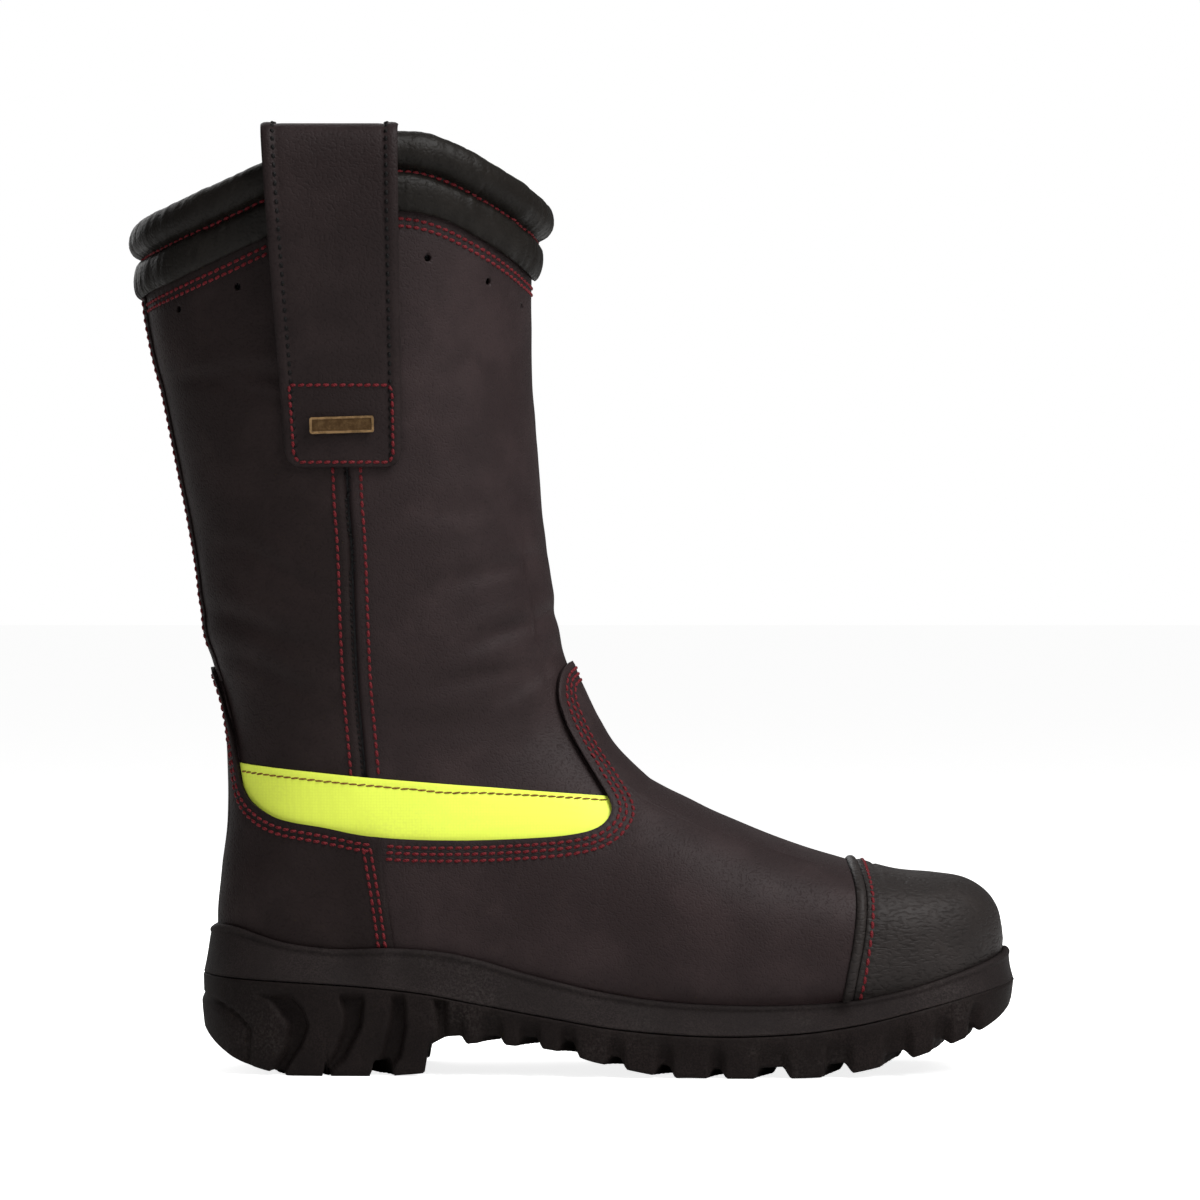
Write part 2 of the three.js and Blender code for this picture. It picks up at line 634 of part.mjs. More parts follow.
const ribbon = (points, thickness) => [...points, ...moved(points, thickness).toReversed()];
const oval = (u, v, halfU, halfV, count) =>
  Array.from({ length: count }, (_, i) => {
    const turn = (-2 * Math.PI * i) / count;
    return [u + halfU * Math.cos(turn), v + halfV * Math.sin(turn)];
  });
const legWall = fromSide(underCollar(legTopRise + layerGap)).subtract(skinSolid(leg.inner - layerGap));
const liningWall = fromSide(underCollar(layerGap - collarDrop)).subtract(skinSolid(legCloth.inner - layerGap));
const collarCover = aroundCollar(ribbon(collarProfile, collarSkin)).subtract(legWall).subtract(liningWall);
const foamUpper = aroundCollar(oval(-2.6, 23.4, 7.2, 5.4, 10));
const foamLower = aroundCollar(oval(-3.4, 10, 4.4, 3.4, 10));

// ---------------------------------------------------------------- pull straps

const strapTopX = -90.8 * lengthScale;
const strapFoot = { x: -85.6 * lengthScale, z: 228.4 * heightScale };
const strapRest = leg.outer + 1.5 * layerGap + strapThickness / 2;
const strapPeak = collarHeight(-70 * lengthScale); // the highest the collar's line gets under the strap
const topOfLoop = bootHeight - strapThickness / 2 - 0.4;
// The middle of the webbing, as [outwards from the leg's skin, height], from its foot to its inner end.
const strapOutside = [
  [strapRest, strapFoot.z], [strapRest, strapFoot.z + 16], [strapRest, strapFoot.z + 32],
  [strapRest + 3, strapFoot.z + 50], [8.4, strapPeak - 16], [9.8, strapPeak - 4], [9.6, strapPeak + 10],
  [9.2, strapPeak + 22], [7.2, topOfLoop - 2.6],
];
const strapInside = [
  [-11.4, topOfLoop - 1], [-15.8, topOfLoop - 6], [-17, strapPeak + 18], [-16.4, strapPeak + 4],
  [-13.4, strapPeak - 10], [-10.8, strapPeak - 22], [-8.6, strapPeak - 36], [-7.4, strapPeak - 48],
];
const strapPath = smooth([...strapOutside, [0.6, topOfLoop], ...strapInside], 24);
const strapAcross = Math.ceil(strapWidth / 10); // facets across the webbing

function pullStrap(side) {
  const outward = moved(strapPath, -strapThickness / 2);
  const inward = moved(strapPath, strapThickness / 2);
  const crown = strapPath.reduce((best, p, i) => (p[1] > strapPath[best][1] ? i : best), 0);
  const place = ([u, z], share, flatness) => {
    const climb = THREE.MathUtils.clamp((z - strapFoot.z) / (topOfLoop - strapFoot.z), 0, 1);
    const middle = strapFoot.x + (strapTopX - strapFoot.x) * climb;
    const x = middle + share * strapWidth;
    const bent = Math.abs(besideSkin(x, Math.min(z, collarHeight(x)), side).point.y);
    const flat = Math.abs(besideSkin(middle, Math.min(z, collarHeight(middle)), side).point.y);
    return new THREE.Vector3(x, side * (u + bent + (flat - bent) * flatness), z);
  };
  const rings = strapPath.map((_, i) => {
    const rising = THREE.MathUtils.smoothstep(i, crown * 0.3, crown * 0.8);
    const falling = THREE.MathUtils.smoothstep(i, crown + 1, crown + 6);
    const flatness = rising * (1 - falling);
    const ring = [];
    for (let k = 0; k <= strapAcross; k++) ring.push(place(outward[i], k / strapAcross - 0.5, flatness));
    for (let k = strapAcross; k >= 0; k--) ring.push(place(inward[i], k / strapAcross - 0.5, flatness));
    return ring;
  });
  return loft(rings);
}

const badgeSize = { length: 24, height: 6, thickness: 1.2 };
const badgeAt = inSideView([[-86.3, 244.1]])[0];

function badgePlate() {
  const seat = besideSkin(badgeAt[0], badgeAt[1], -1);
  const off = leg.outer + layerGap + strapThickness + layerGap;
  return solidOf(
    new THREE.BoxGeometry(badgeSize.length, badgeSize.thickness, badgeSize.height)
      .rotateY(-0.03)
      .translate(badgeAt[0], seat.point.y - off - badgeSize.thickness / 2, badgeAt[1]),
  );
}

// ---------------------------------------------------------------- materials

const material = (color, roughness, metalness = 0) =>
  new THREE.MeshStandardMaterial({ color, roughness, metalness });
const brownLeather = material(0x332a2b, 0.55);
const collarLeather = material(0x24251f, 0.6);
const coatedLeather = material(0x2b2a27, 0.5);
const rubber = material(0x2a2526, 0.75);
const foamedSole = material(0x2e2829, 0.8);
const clothLining = material(0x1d1d20, 0.95);
const steel = material(0x8d9196, 0.4, 0.9);
const fibreBoard = material(0x9a8564, 0.9);
const padding = material(0xcfc9b8, 0.95);
const brass = material(0x9a7d52, 0.4, 0.9);
const fluorescent = material(0xe6f52a, 0.6);

// ---------------------------------------------------------------- assembly

const boot = new THREE.Group();
function add(group, name, solid, finish) {
  const mesh = new THREE.Mesh(geometryOf(solid), finish);
  mesh.name = name;
  group.add(mesh);
}

const soleUnit = new THREE.Group();
add(soleUnit, "outsole", outsole, rubber);
add(soleUnit, "midsole", midsole, foamedSole);
add(soleUnit, "shank", shank, steel);
add(soleUnit, "insole_board", insoleBoard, fibreBoard);
add(soleUnit, "puncture_plate", puncturePlate, steel);

const footUpper = new THREE.Group();
add(footUpper, "vamp", vamp, brownLeather);
add(footUpper, "counter_cover", counterCover, brownLeather);
add(footUpper, "toe_guard", shell(guard).intersect(guardRest).intersect(overBottom(-guardDepth)), coatedLeather);
add(footUpper, "toe_guard_edge", shell(guard).intersect(guardBand).intersect(overBottom(-guardDepth)), coatedLeather);
add(footUpper, "toe_cap", toeCapSteel, steel);
add(footUpper, "heel_stiffener", heelStiffener, fibreBoard);
add(footUpper, "foot_lining", footLining, clothLining);
add(footUpper, "footbed", footbedPad, padding);

const legUpper = new THREE.Group();
add(legUpper, "leg_front_panel", frontPanel, brownLeather);
add(legUpper, "leg_rear_panel_outer", rearOuter, brownLeather);
add(legUpper, "leg_rear_panel_inner", rearInner, brownLeather);
add(legUpper, "back_strip", backStrip, brownLeather);
add(legUpper, "seam_backing_outer", backingStrip.intersect(outerSide), clothLining);
add(legUpper, "seam_backing_inner", backingStrip.intersect(innerSide), clothLining);
add(legUpper, "leg_lining", legLining, clothLining);
add(legUpper, "collar_cover", collarCover, collarLeather);
add(legUpper, "collar_foam_upper", foamUpper, padding);
add(legUpper, "collar_foam_lower", foamLower, padding);
add(legUpper, "hi_vis_tape_outer", tapeShell.intersect(tapeEnds).intersect(outerSide), fluorescent);
add(legUpper, "hi_vis_tape_inner", tapeShell.intersect(tapeEnds).intersect(innerSide), fluorescent);
add(legUpper, "pull_strap_outer", pullStrap(-1), brownLeather);
add(legUpper, "pull_strap_inner", pullStrap(1), brownLeather);
add(legUpper, "badge_plate", badgePlate(), brass);

boot.add(soleUnit, footUpper, legUpper);

export default boot;
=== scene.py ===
import math

import bmesh
import bpy
import numpy as np
from mathutils import Matrix, Vector, noise
from mathutils.bvhtree import BVHTree


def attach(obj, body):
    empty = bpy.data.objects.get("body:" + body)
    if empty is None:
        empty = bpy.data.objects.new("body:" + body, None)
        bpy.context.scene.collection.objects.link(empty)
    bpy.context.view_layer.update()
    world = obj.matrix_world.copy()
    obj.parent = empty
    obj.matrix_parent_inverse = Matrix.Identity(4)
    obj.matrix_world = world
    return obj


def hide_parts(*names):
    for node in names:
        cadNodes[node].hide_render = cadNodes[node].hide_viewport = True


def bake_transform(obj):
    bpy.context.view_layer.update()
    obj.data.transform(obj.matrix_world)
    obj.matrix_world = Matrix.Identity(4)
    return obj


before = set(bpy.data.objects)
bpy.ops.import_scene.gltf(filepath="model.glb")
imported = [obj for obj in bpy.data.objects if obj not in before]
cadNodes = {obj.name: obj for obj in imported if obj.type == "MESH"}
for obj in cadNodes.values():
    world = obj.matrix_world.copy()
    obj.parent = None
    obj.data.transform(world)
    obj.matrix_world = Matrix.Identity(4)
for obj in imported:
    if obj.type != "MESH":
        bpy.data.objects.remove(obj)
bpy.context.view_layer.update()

mm = 0.001


# [rear x, rear z, front x, front z, breadth to the outside, to the inside, widest place, roundness low, high]
sections = np.array([
    [159.2, 45, 159.2, 54, 6, 16, 0.5, 2.2, 2.2],
    [157.4, 40.5, 157.4, 60.5, 19, 28, 0.5, 2.5, 2.4],
    [153.5, 37.5, 153.5, 65.5, 27.5, 35.5, 0.48, 3, 2.6],
    [147, 34.8, 147, 69, 35, 42, 0.46, 3.4, 2.7],
    [137, 32, 137, 70.6, 41, 46.5, 0.44, 3.8, 2.7],
    [122, 28.6, 122, 72.2, 46.2, 49.6, 0.42, 4, 2.7],
    [102, 25, 102, 77.6, 50.2, 50.8, 0.4, 4, 2.6],
    [79, 22, 79, 84.7, 52.3, 50.2, 0.38, 4, 2.5],
    [54, 20.5, 54, 95.2, 52.5, 47.5, 0.36, 4, 2.4],
    [20, 21, 32, 105.8, 50, 42.5, 0.36, 3.8, 2.3],
    [-10, 23, 24.8, 110.6, 47, 38.5, 0.36, 3.6, 2.3],
    [-40, 26, 13.6, 122, 43.5, 37, 0.38, 3.4, 2.2],
    [-75, 28, 7.7, 131.6, 40.5, 37, 0.4, 3, 2.2],
    [-104, 29, 4.4, 138.4, 38.6, 37.2, 0.44, 2.7, 2.2],
    [-123, 32.5, 2, 143.8, 37.8, 37.4, 0.47, 2.4, 2.2],
    [-131, 45, -0.4, 149, 37.8, 37.8, 0.5, 2.2, 2.2],
    [-133, 59, -2, 153.4, 38.2, 38.2, 0.5, 2.2, 2.2],
    [-131.4, 75, -3.4, 157.4, 38.8, 38.8, 0.5, 2.1, 2.1],
    [-128.6, 97, -4.6, 162, 40.2, 40.2, 0.5, 2.1, 2.1],
    [-129.4, 121, -5.8, 168, 42, 42, 0.5, 2.1, 2.1],
    [-131.4, 138, -7.2, 176, 43.8, 43.8, 0.5, 2.1, 2.1],
    [-135.2, 151, -8.6, 186, 45.6, 45.6, 0.5, 2.1, 2.1],
    [-139.8, 166, -10.2, 198, 47.4, 47.4, 0.5, 2.1, 2.1],
    [-142.4, 184, -11.8, 212, 49.2, 49.2, 0.5, 2.1, 2.1],
    [-145.2, 204, -13.2, 228, 51, 51, 0.5, 2.1, 2.1],
    [-149.6, 226, -14.6, 246, 52.8, 52.8, 0.5, 2.1, 2.1],
    [-155, 252, -15.8, 265, 54.6, 54.6, 0.5, 2.1, 2.1],
    [-160.8, 277, -16.2, 284, 56.2, 56.2, 0.5, 2.1, 2.1],
    [-163.2, 293, -16.2, 299, 57.2, 57.2, 0.5, 2.1, 2.1],
    [-165.4, 316, -15.6, 320, 58, 58, 0.5, 2.1, 2.1],
    [-166.4, 340, -15, 344, 58.5, 58.5, 0.5, 2.1, 2.1],
])


fullTurn = 2 * math.pi


def facing(turn, side):
    # the same place on the outer side (-1) or the inner one (1)
    return turn if side < 0 else fullTurn - turn


def through(points, t):
    # a smooth curve through the points, at places t from 0 to 1
    points = np.asarray(points, float)
    last = len(points) - 1
    padded = np.vstack([2 * points[0] - points[1], points, 2 * points[-1] - points[-2]])
    place = np.clip(np.asarray(t, float), 0, 1) * last
    i = np.minimum(place.astype(int), last - 1)
    w = (place - i)[:, None]
    a, b, c, d = padded[i], padded[i + 1], padded[i + 2], padded[i + 3]
    bow, twist = 2 * a - 5 * b + 4 * c - d, 3 * b - a - 3 * c + d
    return 0.5 * (2 * b + (c - a) * w + bow * w**2 + twist * w**3)


def smooth(points, count):
    return through(points, np.linspace(0, 1, count))


def power(value, exponent):
    return np.sign(value) * np.abs(value) ** exponent


def skin(along, turn):
    # along: 0 at the toe, 1 above the collar; turn: 0 at the front, a quarter turn at the outer side
    along, turn = np.broadcast_arrays(np.asarray(along, float), np.asarray(turn, float))
    s = through(sections, along.ravel())
    t = turn.ravel()
    across, aside = np.cos(t), np.sin(t)
    roundness = np.where(across > 0, s[:, 8], s[:, 7])
    reach = np.where(across > 0, 1 - s[:, 6], s[:, 6])
    share = s[:, 6] + reach * power(across, 2 / roundness)
    breadth = np.where(aside > 0, s[:, 4], s[:, 5])
    return np.stack([
        s[:, 0] + (s[:, 2] - s[:, 0]) * share,
        -breadth * power(aside, 2 / roundness),
        s[:, 1] + (s[:, 3] - s[:, 1]) * share,
    ], 1)


def unit(vectors):
    return vectors / np.maximum(np.linalg.norm(vectors, axis=-1), 1e-9)[..., None]


def skinNormal(along, turn):
    along, turn = np.broadcast_arrays(np.asarray(along, float), np.asarray(turn, float))
    a, t = along.ravel(), turn.ravel()
    step = 2e-3
    lengthwise = skin(np.clip(a + step, 0, 1), t) - skin(np.clip(a - step, 0, 1), t)
    around = skin(a, t + 0.01) - skin(a, t - 0.01)
    return unit(np.cross(lengthwise, around))


def onSkin(points, side):
    # where the skin stands at places [x, z] of the side view; side is -1 outer, 1 inner
    points = np.asarray(points, float)
    low, high = np.full(len(points), 0.25), np.ones(len(points))
    for _ in range(36):
        middle = (low + high) / 2
        s = through(sections, middle)
        run = (s[:, 2] - s[:, 0]) * (points[:, 1] - s[:, 1]) - (s[:, 3] - s[:, 1]) * (points[:, 0] - s[:, 0])
        low = np.where(run > 0, middle, low)
        high = np.where(run > 0, high, middle)
    s = through(sections, low)
    share = np.clip((points[:, 0] - s[:, 0]) / (s[:, 2] - s[:, 0]), 0.0005, 0.9995)
    upper = share > s[:, 6]
    roundness = np.where(upper, s[:, 8], s[:, 7])
    reach = np.where(upper, 1 - s[:, 6], s[:, 6])
    turn = np.arccos(np.clip(power((share - s[:, 6]) / reach, roundness / 2), -1, 1))
    return low, facing(turn, side)


turnSteps = np.linspace(0, math.pi, 241)
alongSteps = np.linspace(0.02, 1, 1601)
skinGrid = skin(alongSteps[None, :].repeat(241, 0), turnSteps[:, None].repeat(1601, 1)).reshape(241, 1601, 3)


def crossing(isPast):
    # for each turn, the first place along the skin that is past a line of the side view
    past = isPast(skinGrid[:, :, 0], skinGrid[:, :, 2])
    found = past.any(1)
    high = alongSteps[past.argmax(1)]
    low = high - (alongSteps[1] - alongSteps[0])
    for _ in range(12):
        middle = (low + high) / 2
        spots = skin(middle, turnSteps)
        beyond = isPast(spots[:, 0], spots[:, 2])
        low, high = np.where(beyond, low, middle), np.where(beyond, middle, high)
    high[~found] = 1

    def at(turn):
        folded = np.abs((np.asarray(turn, float) + math.pi) % fullTurn - math.pi)
        return np.interp(folded, turnSteps, high)

    return at


def insideOutline(outline, x, z):
    inside = np.zeros(x.shape, bool)
    for (x0, z0), (x1, z1) in zip(outline, np.roll(outline, -1, 0)):
        if z0 == z1:
            continue
        spans = (z0 > z) != (z1 > z)
        inside ^= spans & (x < (x1 - x0) * (z - z0) / (z1 - z0) + x0)
    return inside


def lineHeight(line, x):
    order = np.argsort(line[:, 0])
    return np.interp(x, line[order, 0], line[order, 1])


def lineReach(line, z):
    order = np.argsort(line[:, 1])
    return np.interp(z, line[order, 1], line[order, 0])


opening = smooth([
    [2, 158], [-5.2, 152], [-7, 142.5], [-4.4, 133], [1, 122.5], [7, 112.5], [13, 102.5], [13.6, 97],
    [8.4, 92], [-4, 89.4], [-28, 88.2], [-51, 88.2], [-73, 89.6], [-93, 93], [-110, 96.2], [-119.4, 101.6],
    [-123.6, 107.5], [-125.3, 115], [-127.3, 125], [-129.8, 135], [-132.4, 145], [-135.6, 153], [-141, 161],
], 160)
tapeTop = smooth([[-146, 121], [-124.4, 116.8], [-89, 113], [-55, 110], [14, 104.4], [30, 103]], 60)
collarLine = smooth([
    [-176, 285.5], [-162.4, 292.2], [-150.2, 297], [-131, 305], [-112, 313.4], [-89, 320.8], [-66, 322.8],
    [-51, 320.2], [-36, 313], [-24.2, 305.6], [-13.9, 297], [-4, 287],
], 120)
counterSeam = smooth([
    [-20, 190], [-58, 130], [-72, 102], [-74.6, 94], [-73.4, 88], [-66.5, 46], [-64, 20], [-62, 0],
], 80)
guardEdge = smooth([[101, 100], [102.6, 81], [105.4, 66], [104.2, 50], [99.4, 27], [96, 14]], 60)
sideSeam = smooth([[-77, 80], [-78.5, 113.8], [-81.4, 150], [-83, 197.8], [-84.6, 226.4], [-87.4, 330]], 80)

openingArea = np.vstack([opening, [[-400, opening[-1, 1]], [-400, 500], [400, 500], [400, opening[0, 1]]]])
openAlong = crossing(lambda x, z: insideOutline(openingArea, x, z))
tapeAlong = crossing(lambda x, z: z > lineHeight(tapeTop, x))
collarAlong = crossing(lambda x, z: z > lineHeight(collarLine, x))
seamAlong = crossing(lambda x, z: x < lineReach(counterSeam, z))
guardAlong = crossing(lambda x, z: x < lineReach(guardEdge, z))
sideAlong, sideTurn = onSkin(sideSeam, -1)


def seamTurn(along):
    return np.interp(along, sideAlong, sideTurn)


def lengthAt(along, turn):
    # millimetres of skin for one unit of along
    step = 1e-3
    return np.linalg.norm(skin(along + step, turn) - skin(along - step, turn), axis=1) / (2 * step)


def moved(along, turn, by):
    # a place along the skin, moved by a distance in mm
    return along + by / lengthAt(along, turn)


def girthAt(along, turn):
    # millimetres of skin for one radian of turn
    return np.linalg.norm(skin(along, turn) - skin(along, turn + 0.02), axis=1) / 0.02


def softStep(value, low, high):
    t = np.clip((value - low) / (high - low), 0, 1)
    return t * t * (3 - 2 * t)


def bell(value, width):
    return np.exp(-((value / width) ** 2))


# soft folds of the worn leather: [x, z, angle, half length, width, depth, side (0 both)]
creaseDepth = 1.35
creases = np.array([
    [-112, 263, 5, 30, 3.2, 0.8, -1], [-126, 258, -8, 18, 2.4, 0.5, -1], [-30, 190, 25, 26, 4, 0.8, -1],
    [-22, 168, 30, 20, 3.4, 0.9, 0], [-34, 150, 20, 24, 3.6, 0.7, 0], [-118, 168, -12, 22, 4, 0.9, 0],
    [-112, 150, -18, 20, 3.6, 0.7, 0], [-60, 132, 4, 34, 4.5, 0.5, -1], [-48, 212, 12, 30, 5, 0.5, -1],
    [-120, 214, -6, 22, 4.5, 0.6, 1], [-40, 240, 8, 26, 5, 0.5, 1], [-110, 190, -20, 20, 3.2, 0.6, -1],
    [40, 92, -38, 16, 3.4, 0.12, 0], [56, 84, -50, 18, 3.4, 0.12, 0], [24, 104, -46, 16, 3.6, 0.12, 0],
])


def folds(points, strength=1.0):
    # how far the leather stands off its last at these places, in mm
    lift = np.zeros(len(points))
    for x, z, angle, halfLength, width, depth, side in creases:
        c, s = math.cos(math.radians(angle)), math.sin(math.radians(angle))
        dx, dz = points[:, 0] - x, points[:, 2] - z
        lengthwise = dx * c + dz * s
        across = -dx * s + dz * c + 2.2 * np.sin(lengthwise / halfLength * 2.2)
        dip = bell(across, width) - 0.45 * bell(across - 1.9 * width, width)
        shape = bell(lengthwise, halfLength) * dip
        here = 1.0 if side == 0 else softStep(points[:, 1] * side, -20, 26)
        lift -= creaseDepth * depth * shape * here
    slow = np.array([noise.noise(Vector((p[0] / 46, p[1] / 46, p[2] / 40))) for p in points])
    fine = np.array([noise.noise(Vector((p[0] / 17 + 7, p[1] / 17, p[2] / 14))) for p in points])
    calm = softStep(points[:, 2], 40, 80)
    return strength * (lift + calm * (0.9 * slow + 0.25 * fine))


def offSkin(along, turn, offset, foldStrength=1.0):
    base = skin(along, turn)
    lift = folds(base, foldStrength) if foldStrength else 0
    return base + skinNormal(along, turn) * (np.asarray(offset) + lift)[..., None]


def polylineDistance(points, line):
    # how far each point is from a line of points, and how far along the line its nearest place is
    best = np.full(len(points), 1e9)
    run = np.zeros(len(points))
    start = 0.0
    for a, b in zip(line[:-1], line[1:]):
        ab = b - a
        length = float(np.linalg.norm(ab))
        if length < 1e-9:
            continue
        t = np.clip(((points - a) @ ab) / (length * length), 0, 1)
        d = np.linalg.norm(points - (a + t[:, None] * ab), axis=1)
        closer = d < best
        best[closer] = d[closer]
        run[closer] = start + t[closer] * length
        start += length
    return best, run


def gridMesh(across, lengthwise, place):
    # a grid whose point (u, v) stands at place(u, v), in mm
    bm = bmesh.new()
    bmesh.ops.create_grid(bm, x_segments=across, y_segments=lengthwise, size=0.5)
    uv = np.array([(v.co.x + 0.5, v.co.y + 0.5) for v in bm.verts])
    spots = place(uv[:, 0], uv[:, 1]) * mm
    for vert, spot in zip(bm.verts, spots):
        vert.co = spot
    bmesh.ops.remove_doubles(bm, verts=bm.verts, dist=2e-6)
    return bm


def faceOut(bm):
    bmesh.ops.recalc_face_normals(bm, faces=bm.faces)
    if bm.calc_volume(signed=True) < 0:
        bmesh.ops.reverse_faces(bm, faces=bm.faces)


def thicken(bm, thickness, rim=0.45, outward=None):
    # gives a sheet its thickness, inwards, and rounds its cut edges
    edgeLayer = bm.verts.layers.float.new("rim")
    for edge in bm.edges:
        if edge.is_boundary:
            for vert in edge.verts:
                vert[edgeLayer] = 1.0
    bmesh.ops.recalc_face_normals(bm, faces=bm.faces)
    centre = Vector(np.mean([v.co[:] for v in bm.verts], 0))
    outward = outward or (lambda spot: spot - centre)
    faces = list(bm.faces)
    if sum(f.normal.dot(outward(f.calc_center_median())) * f.calc_area() for f in faces) < 0:
        bmesh.ops.reverse_faces(bm, faces=faces)
    bmesh.ops.solidify(bm, geom=list(bm.faces), thickness=thickness * mm)
    faceOut(bm)
    cut = [e for e in bm.edges if all(v[edgeLayer] > 0.5 for v in e.verts) and len(e.link_faces) == 2]
    sharp = [e for e in cut if e.calc_face_angle(0) > 0.9]
    if rim and sharp:
        bmesh.ops.bevel(bm, geom=sharp, offset=rim * mm, offset_type="OFFSET", segments=2, profile=0.5,
                        affect="EDGES", material=-1, clamp_overlap=True)


def named(name, side):
    return name + ("Outer" if side < 0 else "Inner")


def toObject(bm, name, material, levels=0):
    mesh = bpy.data.meshes.new(name)
    bm.to_mesh(mesh)
    bm.free()
    for polygon in mesh.polygons:
        polygon.use_smooth = True
    obj = bpy.data.objects.new(name, mesh)
    bpy.context.scene.collection.objects.link(obj)
    mesh.materials.append(material)
    if levels:
        modifier = obj.modifiers.new("smoothing", "SUBSURF")
        modifier.levels = modifier.render_levels = levels
    return obj


def addAttribute(obj, name, values):
    layer = obj.data.attributes.new(name, "FLOAT", "POINT")
    layer.data.foreach_set("value", np.asarray(values, np.float32))


def meshPoints(obj):
    co = np.zeros(len(obj.data.vertices) * 3, np.float32)
    obj.data.vertices.foreach_get("co", co)
    return co.reshape(-1, 3).astype(float) / mm


def markSeams(obj, lines):
    # stores each point's distance to the nearest sewn line, and its run along that line
    points = meshPoints(obj)
    best, run = np.full(len(points), 9.0), np.zeros(len(points))
    for line in lines:
        low, high = line.min(0) - 9, line.max(0) + 9
        near = np.all((points > low) & (points < high), 1)
        if not near.any():
            continue
        d, r = polylineDistance(points[near], line)
        ids = np.flatnonzero(near)
        closer = d < best[ids]
        best[ids[closer]] = d[closer]
        run[ids[closer]] = r[closer]
    addAttribute(obj, "seam", np.minimum(best, 9))
    addAttribute(obj, "seamRun", run)


def surfaceOf(*objects):
    # the outside of some pieces, to lay thread on
    bm = bmesh.new()
    for obj in objects:
        bm.from_mesh(obj.data)
    tree = BVHTree.FromBMesh(bm)
    bm.free()
    return tree


def laid(line, surface, outwards):
    # moves a line of points onto a surface, and gives the surface's direction there
    spots, ups = [], []
    for point, out in zip(line, outwards):
        out = Vector(out).normalized()
        start = Vector(point) * mm + out * 0.012
        hit, normal, _, _ = surface.ray_cast(start, -out, 0.03)
        if hit is None:
            hit, normal, _, _ = surface.find_nearest(Vector(point) * mm)
        if normal.dot(out) < 0:
            normal = -normal
        spots.append(np.array(hit) / mm)
        ups.append(np.array(normal.lerp(out, 0.3).normalized()))
    return np.array(spots), np.array(ups)


def evenly(line, spacing):
    # resamples a line of points at an even spacing
    run = lengthAlong(line)
    count = max(int(run[-1] / spacing), 2)
    return sampled(line, run, np.linspace(0, run[-1], count + 1)).T


def beside(line, ups, distance):
    # moves a line sideways over its surface, to the left when looking along it from outside
    return line + unit(np.cross(ups, unit(np.gradient(line, axis=0)))) * distance


def lengthAlong(line):
    # how far each point of a line is from its start, along the line
    return np.concatenate([[0], np.cumsum(np.linalg.norm(np.diff(line, axis=0), axis=1))])


def sampled(table, run, at):
    return np.array([np.interp(at, run, table[:, k]) for k in range(3)])


thread = {"pitch": 3.2, "gap": 0.1, "thickness": 0.66, "tilt": 7}


def stitchRow(bm, line, ups, pitch=None, gap=None, thickness=None, seed=0):
    # one stitch after another along a line that lies on leather
    pitch = pitch or thread["pitch"]
    gap = gap if gap is not None else thread["gap"]
    radius = thickness or thread["thickness"]
    run = lengthAlong(line)
    count = int(run[-1] / pitch)
    if count < 1:
        return
    pitch = run[-1] / count
    rng = np.random.default_rng(seed + count)
    for k in range(count):
        middle = (k + 0.5) * pitch
        half = (pitch - gap) / 2
        a, b, c = (sampled(line, run, at) for at in (middle - half, middle, middle + half))
        up = unit(sampled(ups, run, middle))
        ahead = unit(c - a)
        left = unit(np.cross(up, ahead))
        lean = math.radians(thread["tilt"] + rng.normal(0, 3))
        aheadT = ahead * math.cos(lean) + left * math.sin(lean)
        leftT = np.cross(up, aheadT)
        made = bmesh.ops.create_uvsphere(bm, u_segments=6, v_segments=6, radius=1.0)
        for vert in made["verts"]:
            along, y, z = vert.co.z, vert.co.x, vert.co.y  # the ball's pole points along the stitch
            swell = radius * (1.0 + 0.05 * rng.normal())
            arch = radius * (0.3 - 0.95 * along * along)
            spot = b + aheadT * (along * half) + leftT * (y * swell) + up * (z * swell * 0.72 + arch)
            vert.co = Vector(spot) * mm


print("surfaces ready")


def add(tree, kind, links=None, **values):
    # one shader node; links: input name or number -> value or another node's output
    node = tree.nodes.new("ShaderNode" + kind)
    for key, value in values.items():
        setattr(node, key, value)
    for key, value in (links or {}).items():
        socket = node.inputs[key]
        if isinstance(value, bpy.types.NodeSocket):
            tree.links.new(value, socket)
        else:
            socket.default_value = value
    return node


def spread(tree, value, low, high, toLow=0.0, toHigh=1.0):
    places = {0: value, 1: low, 2: high, 3: toLow, 4: toHigh}
    return add(tree, "MapRange", places, interpolation_type="SMOOTHSTEP").outputs[0]


def between(tree, value, low, high):
    return add(tree, "MapRange", {0: value, 3: low, 4: high}).outputs[0]


def maths(tree, operation, a, b=0.0):
    return add(tree, "Math", {0: a, 1: b}, operation=operation).outputs[0]


def times(tree, a, b):
    return maths(tree, "MULTIPLY", a, b)


def plus(tree, a, b):
    return maths(tree, "ADD", a, b)


def shade(color, share, lift=0.0):
    return tuple(min(c * share + lift, 1) for c in color)


def mixed(tree, factor, a, b):
    node = add(tree, "Mix", {0: factor}, data_type="RGBA", blend_type="MIX")
    for socket, value in ((node.inputs[6], a), (node.inputs[7], b)):
        if isinstance(value, bpy.types.NodeSocket):
            tree.links.new(value, socket)
        else:
            socket.default_value = (*value, 1)
    return node.outputs[2]


def group(name, inputs, outputs):
    tree = bpy.data.node_groups.new(name, "ShaderNodeTree")
    for label, value in inputs.items():
        socket = tree.interface.new_socket(label, in_out="INPUT", socket_type="NodeSocketFloat")
        socket.default_value = value
    for label in outputs:
        tree.interface.new_socket(label, in_out="OUTPUT", socket_type="NodeSocketFloat")
    return tree, tree.nodes.new("NodeGroupInput"), tree.nodes.new("NodeGroupOutput")


def handBack(tree, out, *values):
    for k, value in enumerate(values):
        tree.links.new(value, out.inputs[k])
    return tree


